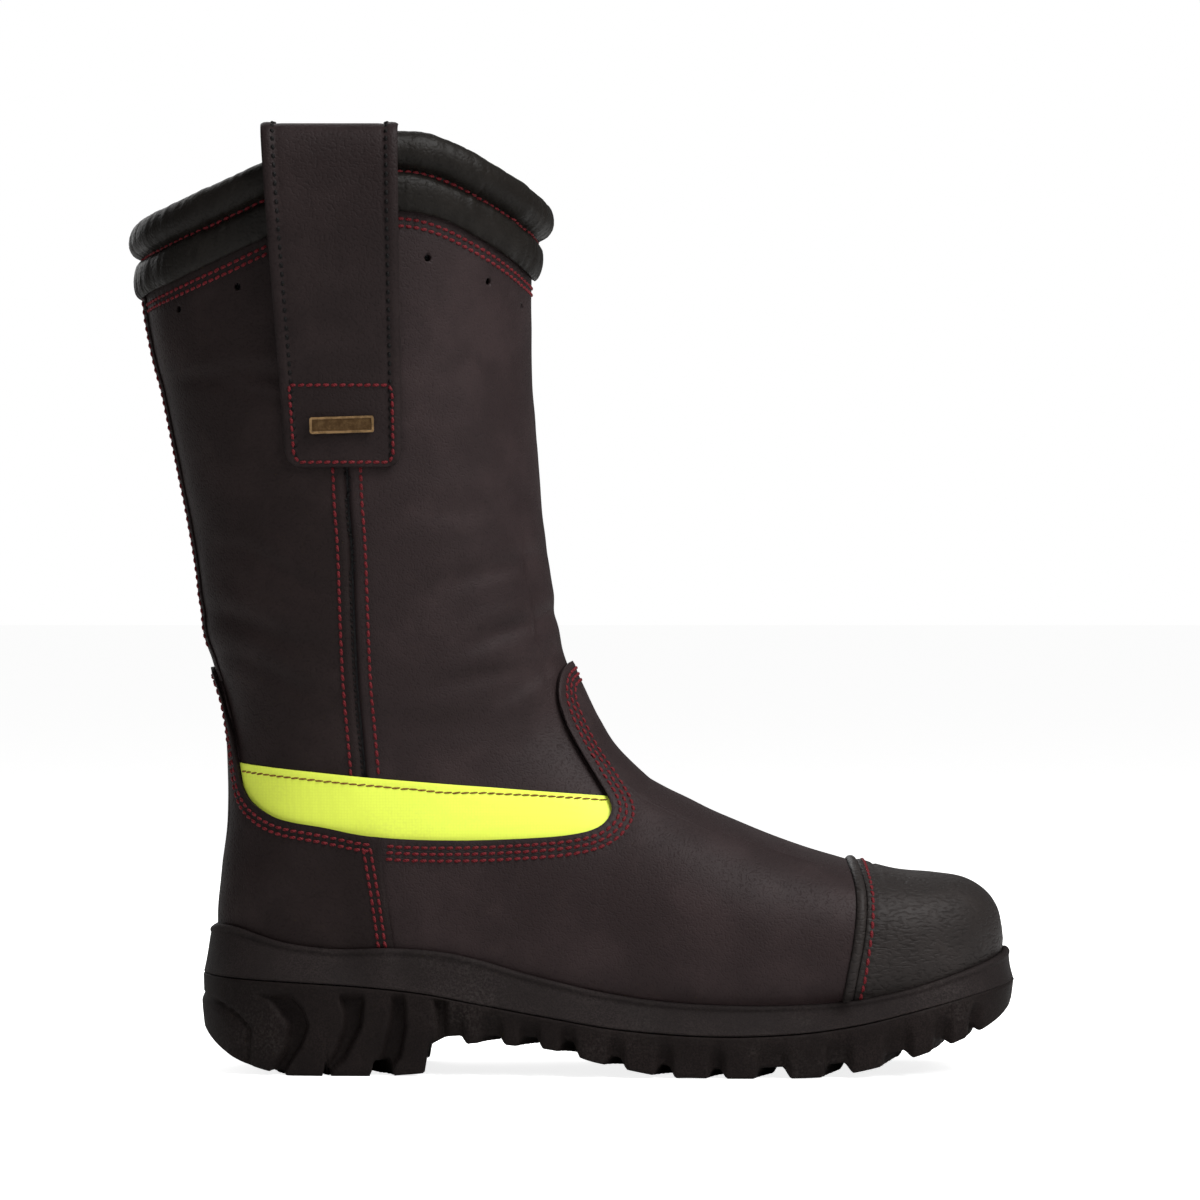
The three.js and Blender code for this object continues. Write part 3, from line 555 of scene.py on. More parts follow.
def objectPlace(tree, stretch=(1, 1, 1)):
    where = add(tree, "TexCoord").outputs["Object"]
    return add(tree, "Mapping", {"Vector": where, "Scale": stretch}).outputs[0]


def cloud(tree, where, scale, detail=2, **more):
    # soft noise; more: its other inputs
    links = {"Vector": where, "Scale": scale, "Detail": detail, **more}
    return add(tree, "TexNoise", links).outputs["Fac"]


def grainGroup():
    # leather grain: pebbles with fine pores between, and where it has been rubbed smooth
    inputs = {"Pebble size": 700, "Across": 1, "Pores": 2600}
    tree, given, out = group("leatherGrain", inputs, ["Height", "Valleys", "Rubbed"])
    where = add(tree, "TexCoord").outputs["Object"]
    bent = add(tree, "TexNoise", {"Vector": where, "Scale": 90, "Detail": 2}).outputs["Color"]
    shifted = add(tree, "VectorMath", {0: bent, 1: (0.0025,) * 3}, operation="MULTIPLY")
    placed = add(tree, "VectorMath", {0: where, 1: shifted.outputs[0]}, operation="ADD")
    split = add(tree, "SeparateXYZ", {0: placed.outputs[0]})
    lower = times(tree, split.outputs[2], given.outputs["Across"])
    joined = add(tree, "CombineXYZ", {0: split.outputs[0], 1: split.outputs[1], 2: lower})
    links = {"Vector": joined.outputs[0], "Scale": given.outputs["Pebble size"], "Randomness": 0.9}
    pebbles = add(tree, "TexVoronoi", links, feature="SMOOTH_F1")
    valleys = spread(tree, pebbles.outputs["Distance"], 0.35, 0.75)
    pores = cloud(tree, where, given.outputs["Pores"], 3)
    slow = cloud(tree, where, 34, 6, Roughness=0.6)
    rubbed = spread(tree, slow, 0.42, 0.68)
    height = maths(tree, "SUBTRACT", times(tree, pores, 0.35), valleys)
    return handBack(tree, out, height, valleys, rubbed)


def seamGroup():
    # the leather dips along each sewn line and puckers between its stitches
    tree, given, out = group("seamPull", {"Pitch": 3.3, "Width": 2.2}, ["Height", "Near"])
    near = add(tree, "Attribute", attribute_name="seam").outputs["Fac"]
    run = add(tree, "Attribute", attribute_name="seamRun").outputs["Fac"]
    close = maths(tree, "DIVIDE", near, given.outputs["Width"])
    pulled = maths(tree, "POWER", 2.718, times(tree, times(tree, close, close), -1.0))
    wave = maths(tree, "SINE", maths(tree, "DIVIDE", times(tree, run, 6.2832), given.outputs["Pitch"]))
    puckered = times(tree, pulled, plus(tree, times(tree, wave, 0.16), -0.5))
    return handBack(tree, out, puckered, pulled)


def dustGroup():
    # fine dust and scuffs that gather unevenly
    tree, given, out = group("dustAndScuffs", {"Scale": 34, "Amount": 0.5}, ["Dust", "Scuffs"])
    where = add(tree, "TexCoord").outputs["Object"]
    drift = cloud(tree, where, given.outputs["Scale"], 6, Roughness=0.65)
    speck = cloud(tree, where, 900, 2)
    dust = times(tree, spread(tree, drift, 0.45, 0.75), spread(tree, speck, 0.4, 0.7))
    fine = cloud(tree, where, 140, 4, Distortion=1.5)
    scuffs = spread(tree, fine, 0.62, 0.72)
    amount = given.outputs["Amount"]
    return handBack(tree, out, times(tree, dust, amount), times(tree, scuffs, amount))


def weaveGroup():
    # threads crossing at right angles, laid by the piece's own UV map, in thread counts
    tree, given, out = group("weave", {"Across": 300, "Along": 300}, ["Height", "Gaps"])
    uv = add(tree, "SeparateXYZ", {0: add(tree, "TexCoord").outputs["UV"]})
    u = times(tree, uv.outputs[0], given.outputs["Across"])
    v = times(tree, uv.outputs[1], given.outputs["Along"])
    half = maths(tree, "FLOOR", u)
    shifted = plus(tree, v, times(tree, half, 0.5))
    crown = maths(tree, "ABSOLUTE", maths(tree, "SINE", times(tree, u, math.pi)))
    beat = maths(tree, "ABSOLUTE", maths(tree, "SINE", times(tree, shifted, math.pi)))
    height = times(tree, maths(tree, "POWER", crown, 0.6), maths(tree, "POWER", beat, 0.6))
    return handBack(tree, out, height, spread(tree, height, 0.35, 0.05))


groups = {"grain": grainGroup(), "seam": seamGroup(), "dust": dustGroup(), "weave": weaveGroup()}


def use(tree, name, **values):
    node = add(tree, "Group", node_tree=groups[name])
    for key, value in values.items():
        node.inputs[key.replace("_", " ")].default_value = value
    return node.outputs


def finish(name, color, roughness, specular, build, metallic=0.0, sheen=0.0):
    # build(tree) returns (color, roughness, height, height in mm); the rest is set on the shader
    material = bpy.data.materials.new(name)
    material.use_nodes = True
    tree = material.node_tree
    shader = tree.nodes["Principled BSDF"]
    madeColor, madeRoughness, height, depth = build(tree, color, roughness)
    tree.links.new(madeColor, shader.inputs["Base Color"])
    tree.links.new(madeRoughness, shader.inputs["Roughness"])
    for key, value in (("Metallic", metallic), ("Specular IOR Level", specular), ("Sheen Weight", sheen)):
        shader.inputs[key].default_value = value
    bump = add(tree, "Bump", {"Height": height, "Strength": 1.0, "Distance": depth * mm})
    tree.links.new(bump.outputs[0], shader.inputs["Normal"])
    return material


def leatherLook(pebble, across=1.0, depth=0.09, seams=True, dusty=0.4, light=1.7):
    def build(tree, color, roughness):
        grain = use(tree, "grain", Pebble_size=pebble, Across=across)
        dust = use(tree, "dust", Amount=dusty)
        dark, pale = shade(color, 0.7), shade(color, light, 0.001)
        base = mixed(tree, times(tree, grain["Valleys"], 0.5), color, dark)
        base = mixed(tree, times(tree, grain["Rubbed"], 0.45), base, pale)
        base = mixed(tree, times(tree, dust["Dust"], 0.12), base, (0.06, 0.048, 0.043))
        height = times(tree, grain["Height"], 1.0)
        if seams:
            seam = use(tree, "seam")
            height = plus(tree, height, times(tree, seam["Height"], 4.0))
            base = mixed(tree, times(tree, seam["Near"], 0.35), base, dark)
        rim = add(tree, "Attribute", attribute_name="rim").outputs["Fac"]
        base = mixed(tree, times(tree, rim, 0.35), base, shade(color, 0.35))
        rough = between(tree, grain["Valleys"], roughness, roughness + 0.14)
        rough = plus(tree, rough, times(tree, dust["Scuffs"], 0.12))
        return base, rough, height, depth
    return build


def rubberLook(depth, grit=1500, dusty=0.7):
    def build(tree, color, roughness):
        where = objectPlace(tree)
        sand = cloud(tree, where, grit, 3, Roughness=0.7)
        patches = cloud(tree, where, 46, 5)
        dust = use(tree, "dust", Amount=dusty)
        base = mixed(tree, spread(tree, patches, 0.35, 0.7), color, shade(color, 1.5))
        base = mixed(tree, spread(tree, sand, 0.6, 0.4), base, shade(color, 0.7))
        base = mixed(tree, times(tree, dust["Dust"], 0.22), base, (0.08, 0.07, 0.064))
        rough = between(tree, patches, roughness - 0.06, roughness + 0.1)
        return base, rough, sand, depth
    return build


def clothLook(across, along, depth=0.25, fuzz=1600):
    def build(tree, color, roughness):
        weave = use(tree, "weave", Across=across, Along=along)
        fluff = cloud(tree, objectPlace(tree), fuzz, 3)
        base = mixed(tree, weave["Gaps"], color, shade(color, 0.35))
        base = mixed(tree, spread(tree, fluff, 0.4, 0.75, 0.0, 0.5), base, shade(color, 1.7))
        rough = between(tree, fluff, roughness - 0.05, roughness + 0.05)
        height = plus(tree, weave["Height"], times(tree, fluff, 0.3))
        return base, rough, height, depth
    return build


def speckledLook(scale, depth, contrast, streak=(1, 1, 1)):
    def build(tree, color, roughness):
        where = objectPlace(tree, streak)
        grains = cloud(tree, where, scale, 4, Roughness=0.6)
        slow = cloud(tree, objectPlace(tree), 40, 4)
        base = mixed(tree, spread(tree, grains, 0.35, 0.65), shade(color, 1 - contrast), color)
        base = mixed(tree, spread(tree, slow, 0.4, 0.7, 0, 0.35), base, shade(color, 1.4))
        rough = between(tree, grains, roughness - 0.1, roughness + 0.12)
        return base, rough, grains, depth
    return build


def threadLook():
    # twisted thread, on the run of its own Object coordinates
    def build(tree, color, roughness):
        links = {"Vector": objectPlace(tree), "Scale": 620, "Distortion": 2.0, "Detail": 1}
        twist = add(tree, "TexWave", links, bands_direction="DIAGONAL")
        fluff = cloud(tree, objectPlace(tree), 2600, 2)
        base = mixed(tree, twist.outputs["Fac"], shade(color, 0.6), shade(color, 1.25))
        rough = between(tree, fluff, roughness - 0.08, roughness + 0.08)
        return base, rough, plus(tree, twist.outputs["Fac"], fluff), 0.06
    return build


def tapeLook():
    # glossy yellow film over a fine mesh of cells, a little soiled
    def build(tree, color, roughness):
        cells = add(tree, "TexVoronoi", {"Vector": objectPlace(tree), "Scale": 900, "Randomness": 0.25})
        dust = use(tree, "dust", Scale=28, Amount=1.0)
        base = mixed(tree, spread(tree, cells.outputs["Distance"], 0.2, 0.7), color, shade(color, 0.95))
        base = mixed(tree, times(tree, dust["Dust"], 0.22), base, (0.4, 0.43, 0.1))
        seam = use(tree, "seam", Width=1.6)
        rough = between(tree, dust["Dust"], roughness, roughness + 0.25)
        height = plus(tree, times(tree, cells.outputs["Distance"], 0.15), times(tree, seam["Height"], 3))
        return base, rough, height, 0.1
    return build


def brassLook():
    # brushed along its length, tarnished where it is sunk
    def build(tree, color, roughness):
        brushed = cloud(tree, objectPlace(tree, (1, 1, 14)), 520, 4)
        patches = cloud(tree, objectPlace(tree), 420, 5, Roughness=0.7)
        sunk = add(tree, "Attribute", attribute_name="sunk").outputs["Fac"]
        base = mixed(tree, spread(tree, patches, 0.38, 0.62), shade(color, 0.55), color)
        worn = times(tree, sunk, spread(tree, patches, 0.3, 0.7, 1.0, 0.72))
        base = mixed(tree, worn, base, (0.085, 0.048, 0.022))
        rough = between(tree, brushed, roughness - 0.08, roughness + 0.16)
        return base, rough, plus(tree, brushed, patches), 0.03
    return build


# name, colour, roughness, specular level, look, and what else the shader needs
finishes = {row[0]: finish(*row[:5], **(row[5] if len(row) > 5 else {})) for row in (
    ("bootLeather", (0.0172, 0.0110, 0.0112), 0.52, 0.1, leatherLook(pebble=1500, depth=0.09)),
    # this rear leather is bootLeather at about 0.7 of its colour: painted shade for the counter, rear panels
    # and back strip, which face away from the key light
    ("rearLeather", (0.0122, 0.0078, 0.0076), 0.54, 0.08, leatherLook(pebble=1300, depth=0.1)),
    ("guardLeather", (0.0150, 0.0122, 0.0114), 0.52, 0.12, leatherLook(pebble=520, across=2.2, depth=0.24)),
    ("collarLeather", (0.0068, 0.0056, 0.0046), 0.46, 0.1, leatherLook(pebble=900, depth=0.1, dusty=0.2)),
    ("strapLeather", (0.0128, 0.0082, 0.0082), 0.52, 0.09, leatherLook(pebble=1150, depth=0.1, seams=False)),
    ("redThread", (0.105, 0.0075, 0.0108), 0.6, 0.14, threadLook()),
    ("brownThread", (0.17, 0.075, 0.014), 0.6, 0.14, threadLook()),
    ("blackThread", (0.0032, 0.0026, 0.0026), 0.7, 0.14, threadLook()),
    ("hiVisFilm", (0.68, 0.79, 0.085), 0.5, 0.14, tapeLook()),
    ("soleRubber", (0.0084, 0.0060, 0.0056), 0.66, 0.06, rubberLook(depth=0.22)),
    ("soleFoam", (0.0122, 0.0091, 0.0088), 0.68, 0.08, rubberLook(depth=0.26)),
    ("liningCloth", (0.020, 0.020, 0.023), 0.9, 0.5, clothLook(300, 210), {"sheen": 0.4}),
    ("backingTape", (0.03, 0.03, 0.032), 0.85, 0.5, clothLook(30, 140)),
    ("footbedFelt", (0.055, 0.058, 0.062), 0.95, 0.5, speckledLook(1400, 0.3, 0.45), {"sheen": 0.5}),
    ("foam", (0.60, 0.57, 0.47), 0.9, 0.5, speckledLook(900, 0.35, 0.25)),
    ("springSteel", (0.36, 0.37, 0.39), 0.36, 0.5, speckledLook(300, 0.03, 0.2, (1, 12, 12)),
     {"metallic": 1.0}),
    ("fibreBoard", (0.30, 0.21, 0.115), 0.85, 0.5, speckledLook(520, 0.2, 0.35, (1, 3, 1))),
    ("brass", (0.40, 0.25, 0.12), 0.36, 0.5, brassLook(), {"metallic": 1.0}),
)}
print("finishes ready")


upper = {
    "legThick": 2.2, "footOut": 2.7, "guardOut": 4.2, "guardThick": 1.1, "tuck": 6.0,
    "around": 200, "vampRows": 130, "counterRows": 60,
}


def meetingTurn(first, second):
    # the turn, on the outer side, where two lines along the skin cross
    gap = first(turnSteps) - second(turnSteps)
    flips = np.flatnonzero((gap[:-1] > 0) != (gap[1:] > 0))
    k = flips[np.argmin(np.abs(turnSteps[flips] - 1.7))]
    return turnSteps[k] + (turnSteps[k + 1] - turnSteps[k]) * gap[k] / (gap[k] - gap[k + 1])


cornerTurn = meetingTurn(seamAlong, openAlong)


def tube(place, around, rows):
    # a closed tube: u goes once round
    return gridMesh(around, rows, lambda u, v: place(u * fullTurn, v))


def nosed(turn, along, offset, strength=1.0):
    # the skin at an offset, closed to a point in front of the toe where along is below 0
    body = offSkin(np.maximum(along, 0), turn, offset, strength)
    ring = offSkin(np.zeros(60), np.linspace(0, fullTurn, 60, endpoint=False), float(np.mean(offset)), 0)
    centre = ring.mean(0) + np.array([0.9, 0, 0])
    closing = np.clip(-along / 0.03, 0, 1)[:, None]
    return body + (centre - body) * closing ** 1.4


def behindSeam(points):
    # how far behind the counter's front edge a point is, in mm
    return lineReach(counterSeam, points[:, 2]) - points[:, 0]


def makeVamp():
    def place(turn, v):
        end = openAlong(turn)
        base = skin(end, turn)
        back = softStep(behindSeam(base), 0, 12)
        end = end - 2.2 * back / lengthAt(end, turn)
        along = -0.03 + (end + 0.03) * v ** 0.92
        spot = skin(np.maximum(along, 0), turn)
        lowered = softStep(behindSeam(spot), 3, 13) * softStep(-spot[:, 0], 20, 50)
        offset = upper["footOut"] - 1.7 * lowered
        edge = (1 - v) * lengthAt(end, turn) * (end + 0.03)
        offset = offset - 0.35 * bell(edge, 1.2)
        return nosed(turn, along, offset)

    bm = tube(place, upper["around"], upper["vampRows"])
    thicken(bm, 1.9)
    return toObject(bm, "vampLeather", finishes["bootLeather"])


def makeCounter():
    def place(u, v):
        turn = cornerTurn + (fullTurn - 2 * cornerTurn) * u
        low, high = seamAlong(turn), openAlong(turn)
        along = low + (high - low) * v
        span = lengthAt((low + high) / 2, turn) * (high - low)
        fromFront = behindSeam(skin(along, turn))
        offset = 2.9 + 1.4 * (1 - softStep(fromFront, 4, 18))
        offset = offset - 0.5 * bell(fromFront, 0.9) - 0.35 * bell((1 - v) * span, 1.0)
        return offSkin(along, turn, offset)

    bm = gridMesh(upper["around"], upper["counterRows"], place)
    thicken(bm, 1.7)
    return toObject(bm, "counterLeather", finishes["rearLeather"])


def makeGuard():
    band = 8.2  # where the guard's body starts, behind it the folded strip

    def place(turn, v):
        end = guardAlong(turn)
        end = moved(end, turn, -(band - 4.2))
        along = -0.03 + (end + 0.03) * v ** 0.9
        toEdge = (1 - v) * lengthAt(end, turn) * (end + 0.03)
        offset = upper["guardOut"] - 0.55 * bell(toEdge, 0.9) - 0.5 * bell(toEdge - 7.4, 0.8)
        return nosed(turn, along, offset, 0.6)

    bm = tube(place, upper["around"], 96)
    thicken(bm, upper["guardThick"])
    return toObject(bm, "toeGuard", finishes["guardLeather"])


def makeGuardStrip():
    width = 4.2

    def place(turn, v):
        end = guardAlong(turn)
        along = end - width * (1 - v) / lengthAt(end, turn)
        crown = np.sin(np.pi * np.clip(v, 0, 1)) ** 0.55
        offset = 3.1 + 1.5 * crown
        return offSkin(along, turn, offset, 0.6)

    bm = tube(place, upper["around"], 10)
    thicken(bm, 1.2, rim=0)
    return toObject(bm, "guardStrip", finishes["guardLeather"])


vampPiece = makeVamp()
counterPiece = makeCounter()
guardPiece = makeGuard()
guardStrip = makeGuardStrip()
print("foot leather made")


shaft = {
    "rise": 3.4, "rows": 150, "frontAround": 130, "rearAround": 70, "seamGap": 0.35, "seamRoll": 1.5,
    "seamRidge": 0.45, "stripHalf": 10.0,
}


def wallPlace(turn, v, low, high):
    start = openAlong(turn)
    start = moved(start, turn, -low)
    end = collarAlong(turn)
    end = end + high / lengthAt(np.minimum(end, 0.99), turn)
    return start + (end - start) * v


def seamOffset(along, turn):
    # leather turns in along the closed seam up the side
    folded = np.abs((turn + math.pi) % fullTurn - math.pi)
    away = np.abs(folded - seamTurn(along)) * girthAt(along, turn)
    return shaft["seamRidge"] * bell(away - 2.7, 0.8) - shaft["seamRoll"] * bell(away, 1.3)


def makeFront():
    def place(u, v):
        turn = (u * 2 - 1) * 1.6
        for _ in range(3):
            along = wallPlace(turn, v, upper["tuck"], shaft["rise"])
            turn = (u * 2 - 1) * (seamTurn(along) - shaft["seamGap"] / girthAt(along, turn))
        return offSkin(along, turn, seamOffset(along, turn))

    bm = gridMesh(shaft["frontAround"], shaft["rows"], place)
    thicken(bm, upper["legThick"], outward=lambda c: Vector((c.x + 0.08, c.y, 0)))
    return toObject(bm, "legFront", finishes["bootLeather"])


def makeRear(side):
    def place(u, v):
        turn = 1.7 + u * (math.pi - 1.7)
        for _ in range(3):
            along = wallPlace(turn, v, upper["tuck"], shaft["rise"])
            reach = girthAt(along, turn)
            first = seamTurn(along) + shaft["seamGap"] / reach
            turn = first + u * (math.pi - 0.2 / reach - first)
        turned = facing(turn, side)
        return offSkin(along, turned, seamOffset(along, turned))

    bm = gridMesh(shaft["rearAround"], shaft["rows"], place)
    thicken(bm, upper["legThick"], outward=lambda c: Vector((c.x + 0.08, c.y, 0)))
    return toObject(bm, named("legRear", side), finishes["rearLeather"])


def punchVents(pieces):
    # little air holes under the collar, through the leather
    vents = np.array([[-148.6, 288.2], [-125.8, 295.9], [-54.4, 306.6], [-31.9, 298.5], [-19.4, 289.8]])
    bm = bmesh.new()
    for side in (-1, 1):
        along, turn = onSkin(vents, side)
        for spot, out in zip(skin(along, turn), skinNormal(along, turn)):
            turned = Vector(out).to_track_quat("Z", "Y").to_matrix().to_4x4()
            bmesh.ops.create_cone(
                bm, cap_ends=True, segments=14, radius1=1.35 * mm, radius2=1.35 * mm, depth=12 * mm,
                matrix=Matrix.Translation(Vector(spot) * mm) @ turned,
            )
    pin = toObject(bm, "ventPins", finishes["rearLeather"])
    for piece in pieces:
        cut = piece.modifiers.new("vents", "BOOLEAN")
        cut.object, cut.operation, cut.solver = pin, "DIFFERENCE", "EXACT"
        bpy.context.view_layer.update()
        made = bpy.data.meshes.new_from_object(piece.evaluated_get(bpy.context.evaluated_depsgraph_get()))
        piece.modifiers.clear()
        piece.data = made
    bpy.data.objects.remove(pin)


def rearTurn(along, y):
    s = through(sections, np.ravel(along))
    breadth = np.where(y < 0, s[:, 4], s[:, 5])
    return math.pi + np.sign(y) * np.arcsin(np.clip((np.abs(y) / breadth) ** (s[:, 7] / 2), 0, 1))


def makeBackStrip():
    def place(u, v):
        y = (u * 2 - 1) * shaft["stripHalf"]
        turn = np.full(len(u), math.pi)
        start = crossing(lambda x, z: z > 148 + 0 * x)
        for _ in range(2):
            low = start(turn)
            high = moved(collarAlong(turn), turn, 2.6)
            along = low + (high - low) * v
            turn = rearTurn(along, y)
        edge = shaft["stripHalf"] - np.abs(y)
        under = 1 - softStep(skin(along, turn)[:, 2], 156, 162)  # its foot lies under the counter
        offset = 1.25 - 0.5 * bell(edge, 1.1) - 0.15 * under
        return offSkin(along, turn, offset)

    bm = gridMesh(24, 130, place)
    thicken(bm, 1.1, rim=0.25, outward=lambda c: Vector((-1, 0, 0)))
    return toObject(bm, "backStrip", finishes["rearLeather"])


def makeTape(side):
    def place(u, v):
        turn = tapeEnds[0] + u * (tapeEnds[1] - tapeEnds[0])
        low = openAlong(turn)
        low = moved(low, turn, -4)
        high = np.maximum(tapeAlong(turn), low + 0.002)
        along = low + (high - low) * v
        turned = facing(turn, side)
        return offSkin(along, turned, 0.6)

    bm = gridMesh(150, 16, place)
    thicken(bm, 0.42, rim=0.1, outward=lambda c: Vector((0, side, 0)))
    return toObject(bm, named("hiVis", side), finishes["hiVisFilm"])


def tapeReach():
    # the turns where the tape's top edge meets the opening
    gap = tapeAlong(turnSteps) - openAlong(turnSteps)
    inside = np.flatnonzero((gap > -0.004) & (turnSteps > 0.2) & (turnSteps < 2.9))
    return turnSteps[inside[0]], turnSteps[inside[-1]]


tapeEnds = tapeReach()
frontPiece = makeFront()
rearOuter, rearInner = makeRear(-1), makeRear(1)
punchVents([frontPiece, rearOuter, rearInner])
backStrip = makeBackStrip()
tapes = {-1: makeTape(-1), 1: makeTape(1)}
print("leg leather made")


collar = {"around": 420, "skin": 1.0, "wrinkle": 0.56, "lean": 0.07, "rise": 3.4}
# outwards and upwards from the sewing line: from inside the leg, over both rolls, down to the lining
collarShape = smooth([
    [-2.5, -6], [-2.5, -1], [-2.4, 3.4], [-1.0, 4.2], [0.7, 3.7], [0.9, 2.3], [1.5, 1.2], [2.8, 2.3],
    [3.8, 4.9], [4.3, 8.6],
    [3.8, 12.9], [2.2, 15.2], [1.3, 15.9],
    [2.3, 16.6], [5.1, 18.2], [7.0, 21.4], [6.9, 25.6], [5.1, 29.2], [1.8, 31.2], [-2.2, 31.6],
    [-6.4, 30.2], [-9.8, 26.8],
    [-10.9, 21.8], [-9.8, 16.2], [-9.2, 11.4], [-9.4, 6], [-8.4, 0], [-7.2, -6], [-6.4, -14],
], 65)
# how much the leather wrinkles along that line
pullPlaces, pullShares = [0, 5, 7, 9.5, 12, 13.5, 18, 25, 28], [0, 0, 0.9, 0.6, 1, 0.9, 0.45, 0.3, 0]
collarPull = np.interp(np.linspace(0, 28, 65), pullPlaces, pullShares)
ahead = unit(np.gradient(collarShape, axis=0))
collarInside = collarShape + np.stack([-ahead[:, 1], ahead[:, 0]], 1) * collar["skin"]
collarRing = np.vstack([collarShape, collarInside[::-1], collarShape[:1]])
ringPull = np.concatenate([collarPull, collarPull[::-1] * 0.3, collarPull[:1]])


def collarPoint(turn, out, up):
    turn = np.asarray(turn, float)
    along = collarAlong(turn)
    line = skin(along, turn)
    normal = skinNormal(along, turn)
    normal[:, 2] = 0
    normal = unit(normal)
    climb = 0.01
    perHeight = climb / (line[:, 2] - skin(along - climb, turn)[:, 2])
    wall = skin(np.minimum(along + perHeight * np.minimum(up, collar["rise"]), 1), turn)
    spot = wall + normal * np.asarray(out)[..., None]
    spot[:, 0] += collar["lean"] * np.maximum(up - collar["rise"], 0)
    spot[:, 2] = line[:, 2] + up
    return spot


def makeCollar():
    girth = 410.0

    def place(u, v):
        turn = u * fullTurn
        at = v * (len(collarRing) - 1)
        steps = np.arange(len(collarRing))
        out, up = np.interp(at, steps, collarRing[:, 0]), np.interp(at, steps, collarRing[:, 1])
        pull = np.interp(at, steps, ringPull)
        spot = collarPoint(turn, out, up)
        middle = collarPoint(turn, np.full(len(u), -2.0), np.where(up > 15.8, 23.0, 9.0))
        away = unit(spot - middle)
        ring = np.stack([np.cos(turn), np.sin(turn)], 1) * girth / fullTurn
        wrinkle = np.zeros(len(u))
        for i in range(len(u)):
            if pull[i] <= 0:
                continue
            a, b = ring[i]
            h = min(at[i], 130 - at[i]) / 64 * 9
            fine = noise.noise(Vector((a / 2.3, b / 2.3, h * 0.55)))
            broad = noise.noise(Vector((a / 6.5 + 9, b / 6.5, h * 0.35 + 4)))
            slow = noise.noise(Vector((a / 26, b / 26, 5 + (up[i] > 15.8) * 3)))
            crease = noise.noise(Vector((a / 4.6 + 3, b / 4.6, h * 0.3 + 8)))
            folded = -1.5 * math.exp(-((crease / 0.11) ** 2)) * (0.45 + 0.9 * broad)
            wrinkle[i] = pull[i] * (fine * 0.7 + broad * 1.3 + folded) + slow * 1.4 * (0.25 + pull[i])
        inner = softStep(out, -9, -4) * 0.75 + 0.25
        return spot + away * (collar["wrinkle"] * wrinkle * inner)[:, None]

    bm = gridMesh(collar["around"], len(collarRing) - 1, place)
    faceOut(bm)
    piece = toObject(bm, "paddedCollar", finishes["collarLeather"])
    return piece


def makeFoam(name, out, up, halfOut, halfUp):
    def place(u, v):
        turn, spin = u * fullTurn, v * fullTurn
        return collarPoint(turn, out + halfOut * np.cos(spin), up + halfUp * np.sin(spin))

    bm = gridMesh(90, 16, place)
    faceOut(bm)
    return toObject(bm, name, finishes["foam"])


collarPiece = makeCollar()
foamUpper = makeFoam("foamUpper", -2.2, 23.4, 6.6, 5.2)
foamLower = makeFoam("foamLower", -3.2, 10, 4.2, 3.2)
print("collar made")


strap = {
    "width": 50, "outerWidth": 51.5, "footWidth": 44, "thickness": 2.3, "footX": -85.6, "footZ": 228.4,
    "topX": -90.8, "top": 355.4, "edge": 4.4, "fold": 0.5, "corner": 6.0,
}
strapPeak = float(lineHeight(collarLine, -70))
strapPath = smooth([
    [1.6, strap["footZ"]], [1.6, strap["footZ"] + 16], [1.7, strap["footZ"] + 32], [4.6, strap["footZ"] + 50],
    [8.6, strapPeak - 16], [10.6, strapPeak - 4], [10.9, strapPeak + 10], [10.3, strapPeak + 22],
    [7.4, strap["top"] - 2.6],
    [0.6, strap["top"]], [-11.4, strap["top"] - 1], [-15.8, strap["top"] - 6], [-17, strapPeak + 18],
    [-16.4, strapPeak + 4],
    [-13.6, strapPeak - 10], [-11, strapPeak - 22], [-8.8, strapPeak - 36], [-7.6, strapPeak - 48],
], 160)
strapRun = np.concatenate([[0], np.cumsum(np.linalg.norm(np.diff(strapPath, axis=0), axis=1))])
strapCrown = strapRun[strapPath[:, 1].argmax()]


def strapClimb(z):
    # 0 at the strap's foot, 1 at its top
    return np.clip((z - strap["footZ"]) / (strap["top"] - strap["footZ"]), 0, 1)


def strapWidth(climb):
    return strap["footWidth"] + (strap["outerWidth"] - strap["footWidth"]) * climb


def strapPoint(side, across, run, lift=0.0):
    # across: -0.5 to 0.5 from the rear edge to the front one; run: mm along the webbing from its foot
    out = np.interp(run, strapRun, strapPath[:, 0])
    z = np.interp(run, strapRun, strapPath[:, 1])
    ahead = np.interp(run + 0.5, strapRun, strapPath[:, 0]) - np.interp(run - 0.5, strapRun, strapPath[:, 0])
    rise = np.interp(run + 0.5, strapRun, strapPath[:, 1]) - np.interp(run - 0.5, strapRun, strapPath[:, 1])
    length = np.maximum(np.hypot(ahead, rise), 1e-9)
    climb = strapClimb(z)
    middle = strap["footX"] + (strap["topX"] - strap["footX"]) * climb
    outerRun = run < strapCrown
    width = np.where(outerRun, strapWidth(climb), strap["width"])
    x = middle + across * width
    line = lineHeight(collarLine, x)
    along, turn = onSkin(np.stack([x, np.minimum(z, line)], 1), side)
    bent = np.abs(skin(along, turn)[:, 1])
    alongM, turnM = onSkin(np.stack([middle, np.minimum(z, lineHeight(collarLine, middle))], 1), side)
    flat = np.abs(skin(alongM, turnM)[:, 1])
    rising = softStep(run, strapCrown * 0.3, strapCrown * 0.8)
    falling = softStep(run, strapCrown + 4, strapCrown + 24)
    flatness = rising * (1 - falling)
    out = out + lift * rise / length
    z = z - lift * ahead / length
    sag = 0.8 * bell(run - strapCrown * 0.55, 20) * (0.25 - across * across) * 4
    return np.stack([x, side * (out + bent + (flat - bent) * flatness + sag), z], 1)


